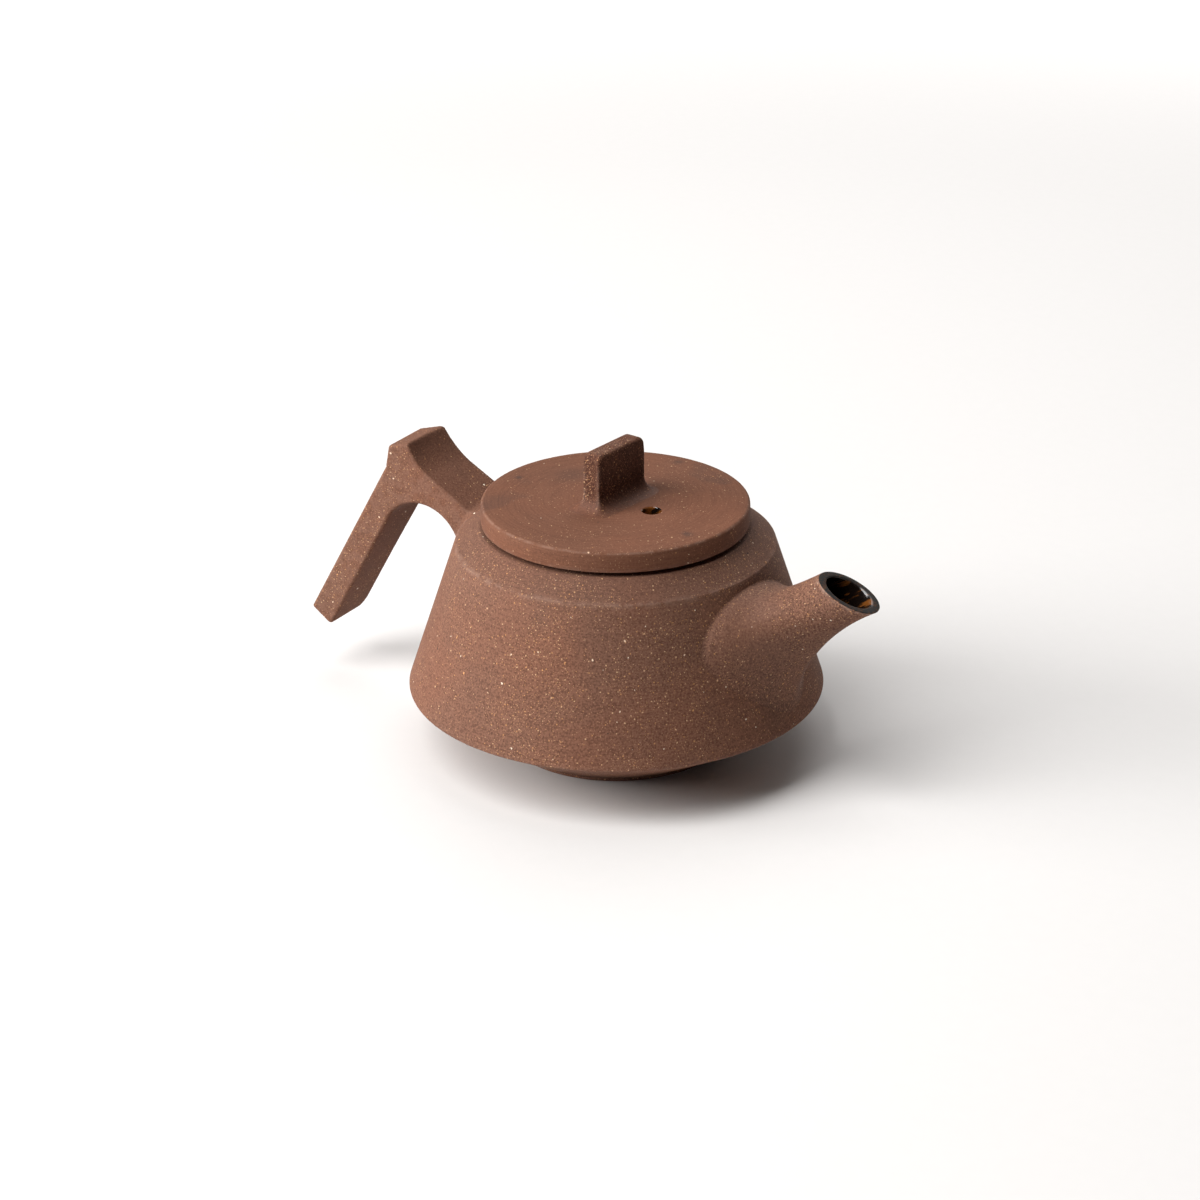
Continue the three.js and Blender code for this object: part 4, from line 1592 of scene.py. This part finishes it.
@dataclass
class Handle:
    """The back handle: a block, an arm down to the shoulder and a grip, carved from a slab.

    Attributes:
        pot: the pot that it is luted onto.
        width: width of the slab.
        block_reach: how far behind the crease the block's low corner lies.
        block_rise: how far above the crease that corner lies.
        block_height: height of the block's back face.
        block_lean: lean of that face off the upright, in degrees.
        block_length: length of the block's top.
        block_tilt: slope of the top, in degrees.
        grip_length: length of the grip.
        grip_thickness: its thickness.
        grip_slope: how steeply it hangs, in degrees.
        grip_cut: how far its end is cut off square, in degrees.
        arm_slope: slope of the arm, in degrees.
        arm_rise: how far above the crease its upper face meets the pot.
        arm_thickness: thickness of the arm.
        arch: radius of the hollow between arm and grip.
        scoop_lean: lean of the block's front face, in degrees.
        scoop: radius of the hollow between that face and the arm.
        scoop_open: how much wider that hollow is on the far side.
        scoop_twist: how far the arm's upper face is twisted, in degrees.
        edge: rounding of the carved edges.
        toe: rounding of the grip's inner end.
        far_toe: rounding of its end on the far side.
        swell: how far the far side bulges by the hollow.
        swell_size: how far along the handle that bulge reaches.
        swell_up: how far above the hollow's middle it is.
        run: width of the clay in the corner at the root.
        keyed: how deep the root is pressed into the wall.
        mesh: mesh width of the skin.
        finish: finish of the clay.
    """

    pot: Pot
    width: float = 15.3
    block_reach: float = 25.2
    block_rise: float = 9.0
    block_height: float = 6.3
    block_lean: float = 11.0
    block_length: float = 6.7
    block_tilt: float = 17.0
    grip_length: float = 53.2
    grip_thickness: float = 7.5
    grip_slope: float = 60.3
    grip_cut: float = 6.0
    arm_slope: float = 30.3
    arm_rise: float = 3.1
    arm_thickness: float = 7.8
    arch: float = 12.0
    scoop_lean: float = 15.0
    scoop: float = 4.0
    scoop_open: float = 2.6
    scoop_twist: float = 6.0
    edge: float = 0.55
    toe: float = 1.5
    far_toe: float = 5.0
    swell: float = 0.8
    swell_size: float = 12.0
    swell_up: float = 10.0
    run: float = 2.2
    keyed: float = 1.2
    mesh: float = 0.5
    finish: Stoneware = field(default_factory=lambda: Stoneware(
        (0.172, 0.08, 0.05), (0.19, 0.083, 0.05), grog=1.1, fine=0.8, mottle=0.6,
    ))

    @staticmethod
    def way(angle: float) -> np.ndarray:
        """Unit step in the side view at an angle above +X, in degrees."""
        return np.array([math.cos(math.radians(angle)), math.sin(math.radians(angle))])

    @staticmethod
    def crossing(
        a: np.ndarray, along_a: np.ndarray, b: np.ndarray, along_b: np.ndarray,
    ) -> np.ndarray:
        """Where two lines of the side view cross.

        Args:
            a: a point of the first line.
            along_a: its way.
            b: a point of the second line.
            along_b: its way.

        Returns:
            The crossing.
        """
        share = np.linalg.solve(np.stack([along_a, -along_b], axis=-1), b - a)[0]
        return a + along_a * share

    def build_skin(self) -> Skin:
        """Carves the handle.

        Returns:
            The skin, which runs into the wall at its root.
        """
        pot, way = self.pot, self.way
        low = np.array([-pot.crease_radius - self.block_reach, pot.crease_height + self.block_rise])
        outer = low + way(90 - self.block_lean) * self.block_height
        inner = outer + way(self.block_tilt) * self.block_length
        tip = low - way(self.grip_slope) * self.grip_length
        inside = low + way(self.grip_slope - 90) * self.grip_thickness
        arm = np.array([-pot.crease_radius, pot.crease_height + self.arm_rise])
        hollow = self.crossing(
            inside + way(self.grip_slope - 90) * self.arch, way(self.grip_slope),
            arm + way(-self.arm_slope - 90) * (self.arm_thickness + self.arch),
            way(-self.arm_slope),
        )
        toe = self.crossing(
            tip, way(self.grip_slope - 90 - self.grip_cut), inside, way(self.grip_slope),
        )
        bow = np.radians(np.linspace(self.grip_slope + 90, 0, 40))
        arch = hollow + self.arch * np.stack([np.cos(bow), np.sin(bow)], axis=-1)
        back = -pot.crease_radius + self.arm_thickness
        toe_bend = [
            toe + way(self.grip_slope + 90 - self.grip_cut) * self.toe * (1 - t) ** 2
            + way(self.grip_slope) * self.toe * t ** 2 for t in np.linspace(0, 1, 6)
        ]
        blank = np.concatenate([
            [low, tip], toe_bend, arch, [[back, hollow[1]], [back, inner[1]], inner, outer],
        ])
        twist, past_root, toe_spare, swell_reach = math.radians(self.scoop_twist), 1.0, 0.4, 14.0

        def clay(points: np.ndarray) -> np.ndarray:
            """Finds the distance from the handle and the clay run into the corner at its root.

            Args:
                points: one row each.

            Returns:
                The distances, negative inside the clay.
            """
            side, y, z = points[:, [0, 2]], points[:, 1], points[:, 2]
            off_swell = (z - hollow[1] - self.swell_up) / self.swell_size
            swell = self.swell * np.exp(-(off_swell ** 2)) * (side[:, 0] > low[0] - swell_reach)
            half = self.width / 2 + np.where(y > 0, swell, 0)
            past_toe = (side - tip) @ way(self.grip_slope - 180 - self.grip_cut) - toe_spare
            across = np.maximum(both(y - half, past_toe, self.far_toe), -y - half)
            slab = both(outline_distance(side, blank), across, self.edge)
            lifted = (z - arm[1]) * math.cos(twist) - y * math.sin(twist)
            over = np.stack([side[:, 0], lifted + arm[1]], axis=-1)
            past_face = (inner - over) @ way(self.scoop_lean)
            above_arm = (over - arm) @ way(90 - self.arm_slope)
            far = np.clip(y / self.width + 0.5, 0, 1)
            scoop = both(past_face, -above_arm, self.scoop + self.scoop_open * far ** 2)
            solid = both(slab, -scoop, self.edge)
            wall = pot.distance(points)
            root = joined(solid, wall, self.run) + TUCK
            return np.maximum(np.maximum(root, -wall - self.keyed), solid - self.run - past_root)

        spare, above_root = 1.5, 9.0
        side = self.width / 2 + 3 * spare
        room_low = (tip[0] - spare, -side, toe[1] - spare)
        room_high = (-pot.crease_radius + above_root, side, inner[1] + spare)
        return carved(clay, room_low, room_high, self.mesh)

    def build(self, kiln: Kiln) -> None:
        """Builds and dresses the handle.

        Args:
            kiln: the shared node groups.
        """
        handle = self.build_skin().piece("clay_handle")
        worn_inward, worn_reach, worn_most = 0.2, 0.3, 0.5
        from_side = np.abs(places_of(handle)[:, 1]) - self.width / 2 + worn_inward
        mark(handle, Trait.WORN, worn_most * np.exp(-((from_side / worn_reach) ** 2)))
        self.finish.dress(handle, Slot.CLAY, kiln)
        settle(handle, Body.POT, "handle")


@dataclass
class Lid:
    """The lid: a plate with a vent, the flange that seats it and a slab knob.

    Attributes:
        pot: the pot that it closes.
        thickness: thickness of the plate.
        overhang: how far the plate stands over the rim.
        taper: how much narrower its top is.
        rim_round: rounding of its upper edge.
        play: room between the flange and the mouth.
        flange_wall: thickness of the flange.
        flange_depth: how far the flange reaches down.
        knob_width: width of the knob.
        knob_thickness: its thickness.
        knob_height: its height.
        knob_edge: rounding of its upright edges.
        knob_top_edge: rounding of its top's edges.
        knob_top_from: share of its height from which the edges grow rounder.
        knob_shoulder: radius of its upper corners.
        knob_shift: how far it stands to one side.
        knob_run: radius of the clay run round its foot.
        knob_keyed: how deep its foot is pressed into the plate.
        knob_mesh: mesh width of the knob.
        vent: width of the vent.
        vent_ease: rounding of the vent's edge.
        vent_reach: how far from the middle the vent is.
        turn: how far the lid is turned on the pot, clockwise and in degrees.
        smudges: place, size and darkness of the sooty marks on the plate.
        plate_finish: finish of the plate.
        knob_finish: finish of the knob, its clay darkened as painted shade.
        flange_finish: finish of the flange.
    """

    pot: Pot
    thickness: float = 5.3
    overhang: float = 1.2
    taper: float = 0.1
    rim_round: float = 0.8
    play: float = 0.5
    flange_wall: float = 2.6
    flange_depth: float = 7.0
    knob_width: float = 18.9
    knob_thickness: float = 5.2
    knob_height: float = 15.1
    knob_edge: float = 0.35
    knob_top_edge: float = 1.0
    knob_top_from: float = 0.72
    knob_shoulder: float = 2.2
    knob_shift: float = -0.4
    knob_run: float = 4.2
    knob_keyed: float = 1.0
    knob_mesh: float = 0.36
    vent: float = 4.8
    vent_ease: float = 0.5
    vent_reach: float = 11.6
    turn: float = 6.5
    smudges: tuple[tuple[tuple[float, float], float, float], ...] = (
        ((-19.2, 6.4), 5.0, 0.3), ((1.4, 12.6), 5.0, 0.22), ((-29.2, -3.3), 0.9, 0.8),
        ((-2.8, 30.2), 1.3, 0.6), ((27.8, -6.8), 1.2, 0.85),
    )
    plate_finish: Stoneware = field(default_factory=lambda: Stoneware(
        (0.168, 0.071, 0.041), (0.184, 0.074, 0.041), grog=0.2, fine=0.35, mottle=0.5, trim=0.45,
        smoke_and_shade=0.3, sand=0.5, glazed=True, thin=1.0, start=0.33,
    ))
    # Painted shade: the knob's clay is darker than the plate's, standing for the shade on its faces
    # that turn from the lights.
    knob_finish: Stoneware = field(default_factory=lambda: Stoneware(
        (0.098, 0.037, 0.021), (0.15, 0.06, 0.034), grog=0.8, fine=1.6, sand=1.8,
    ))
    flange_finish: Stoneware = field(default_factory=lambda: Stoneware(glazed=True, thin=0.4))

    @property
    def top(self) -> float:
        """Height of the plate's top."""
        return self.pot.rim_height + self.thickness

    def build_plate(self) -> bpy.types.Object:
        """Throws the plate and pierces its vent.

        Returns:
            The plate.
        """
        wide, low, top = self.pot.rim_radius + self.overhang, self.pot.rim_height, self.top
        line = soft_chain([
            (0, low, 0), (wide, low, 0.3), (wide - self.taper, top, self.rim_round), (0, top, 0),
        ], 1.4, closed=False)
        hole, ease = self.vent / 2, self.vent_ease
        bend = np.linspace(0, math.pi / 2, 7)
        flare = [(hole + ease * (1 - math.cos(a)), top - ease * (1 - math.sin(a))) for a in bend]
        drill = thrown(np.array([
            (0, low - 1), (hole, low - 1), *flare, (hole + ease, top + 1), (0, top + 1),
        ]), sides=48)
        drill.points[:, 0] += self.vent_reach
        plate = pierced(thrown(line).piece("clay_lid_plate"), drill)
        points = places_of(plate)
        glaze_out, glaze_soft, glazed_under, hair, worn_reach = 0.75, 0.4, 30.0, 0.1, 0.35
        from_vent = np.hypot(points[:, 0] - self.vent_reach, points[:, 1])
        glazed = np.clip((hole + glaze_out * ease - from_vent) / glaze_soft, 0, 1)
        radius, height = np.hypot(points[:, 0], points[:, 1]), points[:, 2]
        under = (height < low + hair) * (radius < glazed_under)
        mark(plate, Trait.GLAZED, np.maximum(glazed, under))
        smudged_and_shaded = sum(
            strength * np.exp(-((np.hypot(*(points[:, :2] - place).T) / size) ** 2))
            for place, size, strength in self.smudges
        )
        mark(plate, Trait.SMUDGE_AND_SHADE, smudged_and_shaded * (height > low + 1))
        corner_in, corner_down = 0.3, 0.25
        rims = [(wide, low), (wide - corner_in, top - corner_down)]
        mark(plate, Trait.WORN, near_line(points, rims, worn_reach))
        turned = Skin(points, []).turned(-self.turn).points * MM
        plate.data.vertices.foreach_set("co", turned.astype(np.float32).ravel())
        plate.data.update()
        return plate

    def build_flange(self) -> bpy.types.Object:
        """Throws the flange.

        Returns:
            The flange.
        """
        outer, high = self.pot.mouth_radius - self.play, self.pot.rim_height
        inner, low = outer - self.flange_wall, high - self.flange_depth
        flange = thrown(soft_chain([
            (outer, low, 0.9), (outer, high, 0), (inner, high, 0), (inner, low, 0.9),
        ], 1.0)).piece("lid_flange_ring")
        points, bare, worn_reach = places_of(flange), 0.35, 0.8
        inside = np.hypot(points[:, 0], points[:, 1]) < outer - bare * self.flange_wall
        mark(flange, Trait.GLAZED, np.where(inside, 1.0, 0.0))
        mark(flange, Trait.WORN, near_line(points, [(outer, low)], worn_reach))
        return flange

    def build_knob(self) -> bpy.types.Object:
        """Carves the knob with the clay run round its foot.

        Returns:
            The knob.
        """
        sunk, spare = 2.0, 2.0
        centre = np.array([self.knob_shift, 0, self.top + self.knob_height / 2 - sunk])
        half = np.array([self.knob_thickness, self.knob_width, self.knob_height + 2 * sunk]) / 2
        round_from, past_run, pressed = self.knob_top_from, 0.8, 0.03

        def clay(points: np.ndarray) -> np.ndarray:
            """Finds the distance from the slab and the clay run round its foot.

            Args:
                points: one row each.

            Returns:
                The distances, negative inside the clay.
            """
            apart, plate = np.abs(points - centre), points[:, 2] - self.top
            past = plate - round_from * self.knob_height
            soft = np.clip(past / ((1 - round_from) * self.knob_height), 0, 1)
            front = both(apart[:, 1] - half[1], apart[:, 2] - half[2], self.knob_shoulder)
            edge = self.knob_edge + (self.knob_top_edge - self.knob_edge) * soft
            slab = both(front, apart[:, 0] - half[0], edge)
            root = joined(slab, plate, self.knob_run) + pressed
            root = np.maximum(root, -plate - self.knob_keyed)
            return np.maximum(root, slab - self.knob_run - past_run)

        reach = half + self.knob_run + spare
        low = (-reach[0], -reach[1], self.top - spare)
        high = (reach[0], reach[1], self.top + self.knob_height + spare / 2)
        skin = carved(clay, low, high, self.knob_mesh)
        knob = skin.turned(-self.turn).piece("clay_knob")
        points = turn_level(places_of(knob), self.turn)
        side_reach, top_reach, top_worn, smooth_from, smooth_rise = 0.8, 0.3, 0.4, 1.3, 3.4
        height = points[:, 2] - self.top
        across = np.abs(np.abs(points[:, 0] - self.knob_shift) - half[0])
        side = across + np.abs(np.abs(points[:, 1]) - half[1])
        from_top = np.abs(height - self.knob_height)
        worn = np.exp(-((side / side_reach) ** 2))
        mark(knob, Trait.WORN, worn + np.exp(-((from_top / top_reach) ** 2)) * top_worn)
        mark(knob, Trait.SMOOTH, smooth_from - height / smooth_rise)
        return knob

    def build(self, kiln: Kiln) -> None:
        """Builds and dresses the plate, the flange and the knob.

        Args:
            kiln: the shared node groups.
        """
        for piece, finish, slot, node in (
            (self.build_plate(), self.plate_finish, Slot.CLAY, "lid_plate"),
            (self.build_flange(), self.flange_finish, Slot.GLAZE, "lid_flange"),
            (self.build_knob(), self.knob_finish, Slot.CLAY, "lid_knob"),
        ):
            finish.dress(piece, slot, kiln)
            settle(piece, Body.LID, node)


# The studio


@dataclass
class Softbox:
    """A soft light that looks at the pot.

    Attributes:
        bearing: where it stands, counter-clockwise from +X, in degrees.
        height: how high it stands above the table, in degrees.
        away: its distance in metres.
        size: its width in metres.
        tall: its height in metres.
        power: its power in watts.
        aim: height of the point that it looks at, in metres.
    """

    bearing: float
    height: float
    away: float
    size: float
    tall: float
    power: float
    aim: float = 0.04

    def place(self, name: str) -> None:
        """Puts the light into the scene.

        Args:
            name: name of the light.
        """
        lamp = bpy.data.lights.new(name, "AREA")
        lamp.shape, lamp.size, lamp.size_y = "ELLIPSE", self.size, self.tall
        lamp.energy = self.power
        light = bpy.data.objects.new(name, lamp)
        bpy.context.scene.collection.objects.link(light)
        turn, rise = math.radians(self.bearing), math.radians(self.height)
        level = math.cos(rise)
        way = Vector((math.cos(turn) * level, math.sin(turn) * level, math.sin(rise)))
        light.location = way * self.away + Vector((0, 0, self.aim))
        light.rotation_euler = way.to_track_quat("Z", "Y").to_euler()


@dataclass
class Studio:
    """The plain pale floor, the soft lights and the camera.

    Attributes:
        floor: colour of the floor.
        floor_half: half the floor's width in metres.
        near: how far from the pot, in metres, the floor starts to grow as pale as the surround.
        far: how far from the pot it is as pale.
        surround: how strongly the surround lights the pot.
        distance: how bright the surround and the far floor look.
        lights: the soft lights.
        bearing: where the camera stands, counter-clockwise from -Y, in degrees.
        pitch: how far it looks down, in degrees.
        yaw: how far it looks past the axis, in degrees.
        roll: how far it is tipped, in degrees.
        lens: focal length in millimetres.
        film: width of the film in millimetres.
        stand: the camera's place in metres, before it is turned to its bearing.
    """

    floor: Colour = (0.74, 0.72, 0.705)
    floor_half: float = 5.0
    near: float = 0.5
    far: float = 1.4
    surround: float = 0.05
    distance: float = 0.8
    lights: tuple[Softbox, ...] = (
        Softbox(-124, 49, 1.5, 1.0, 1.9, 31.0),
        Softbox(-146, 16, 1.5, 0.9, 0.8, 20.0),
        Softbox(114, 56, 1.5, 1.3, 1.3, 9.0),
        Softbox(88, 24, 1.5, 0.9, 0.9, 4.0),
    )
    bearing: float = 31.5
    pitch: float = 24.32
    yaw: float = -0.319
    roll: float = 0.417
    lens: float = 94.2
    film: float = 36.0
    stand: tuple[float, float, float] = (0.0, -0.73843, 0.37114)

    def lay_floor(self) -> None:
        """Lays the floor."""
        mesh, half = bpy.data.meshes.new("floor"), self.floor_half
        corners = [(x * half, y * half, 0) for x, y in ((-1, -1), (1, -1), (1, 1), (-1, 1))]
        mesh.from_pydata(corners, [], [(0, 1, 2, 3)])
        floor = bpy.data.objects.new("floor", mesh)
        bpy.context.scene.collection.objects.link(floor)
        material = bpy.data.materials.new("floor_paper")
        material.use_nodes = True
        bench = Bench(material.node_tree)
        shader = material.node_tree.nodes["Principled BSDF"]
        place, paler = bench.place(), tuple(c * 1.01 for c in self.floor)
        colour = bench.blend(PAPER_PATCHES.mask(bench, place), self.floor, paler)
        away = bench.put("ShaderNodeVectorMath", operation="LENGTH")
        bench.feed(away.inputs[0], place)
        far_off = bench.step(away.outputs["Value"], self.near, self.far)
        seen = bench.put("ShaderNodeLightPath").outputs["Is Camera Ray"]
        glow = bench.times(bench.times(far_off, self.distance), seen)
        for label, value in (
            ("Base Color", colour), ("Roughness", 0.9), ("Specular IOR Level", 0.2),
            ("Emission Color", WHITE), ("Emission Strength", glow),
        ):
            bench.feed(shader.inputs[label], value)
        mesh.materials.append(material)

    def light(self) -> None:
        """Sets the surround and the softboxes."""
        world = bpy.data.worlds.new("studio")
        world.use_nodes = True
        glow = world.node_tree.nodes["Background"]
        bench = Bench(world.node_tree)
        bench.feed(glow.inputs["Color"], WHITE)
        seen = bench.put("ShaderNodeLightPath").outputs["Is Camera Ray"]
        bench.feed(glow.inputs["Strength"], bench.between(seen, self.surround, self.distance))
        bpy.context.scene.world = world
        for i, softbox in enumerate(self.lights):
            softbox.place(f"softbox_{i + 1}")

    def stand_camera(self) -> None:
        """Stands the camera where the photograph was taken from."""
        angles = (self.bearing, self.pitch, self.yaw, self.roll)
        bearing, pitch, yaw, roll = (math.radians(angle) for angle in angles)
        ahead = Vector((
            math.sin(yaw) * math.cos(pitch), math.cos(yaw) * math.cos(pitch), -math.sin(pitch),
        ))
        right = Vector((math.cos(yaw), -math.sin(yaw), 0))
        down = ahead.cross(right)
        right, down = (
            right * math.cos(roll) + down * math.sin(roll),
            down * math.cos(roll) - right * math.sin(roll),
        )
        axes = Matrix((right, -down, -ahead)).transposed()
        turn = Matrix.Rotation(bearing, 3, "Z")
        lens = bpy.data.cameras.new("camera")
        lens.lens, lens.sensor_width = self.lens, self.film
        camera = bpy.data.objects.new("camera", lens)
        bpy.context.scene.collection.objects.link(camera)
        place = turn @ Vector(self.stand)
        camera.matrix_world = Matrix.Translation(place) @ (turn @ axes).to_4x4()
        bpy.context.scene.camera = camera

    def build(self) -> None:
        """Builds the whole studio."""
        self.lay_floor()
        self.light()
        self.stand_camera()
        bpy.context.scene.view_settings.view_transform = "Standard"


def main() -> None:
    """Builds the teapot piece by piece, then the studio."""
    logging.basicConfig(level=logging.INFO, format="%(name)s %(message)s")
    kiln = Kiln.fire()
    pot = Pot()
    for part in (pot, Spout(pot), Strainer(pot), Handle(pot), Lid(pot)):
        part.build(kiln)
    Studio().build()


if __name__ == "__main__":
    main()
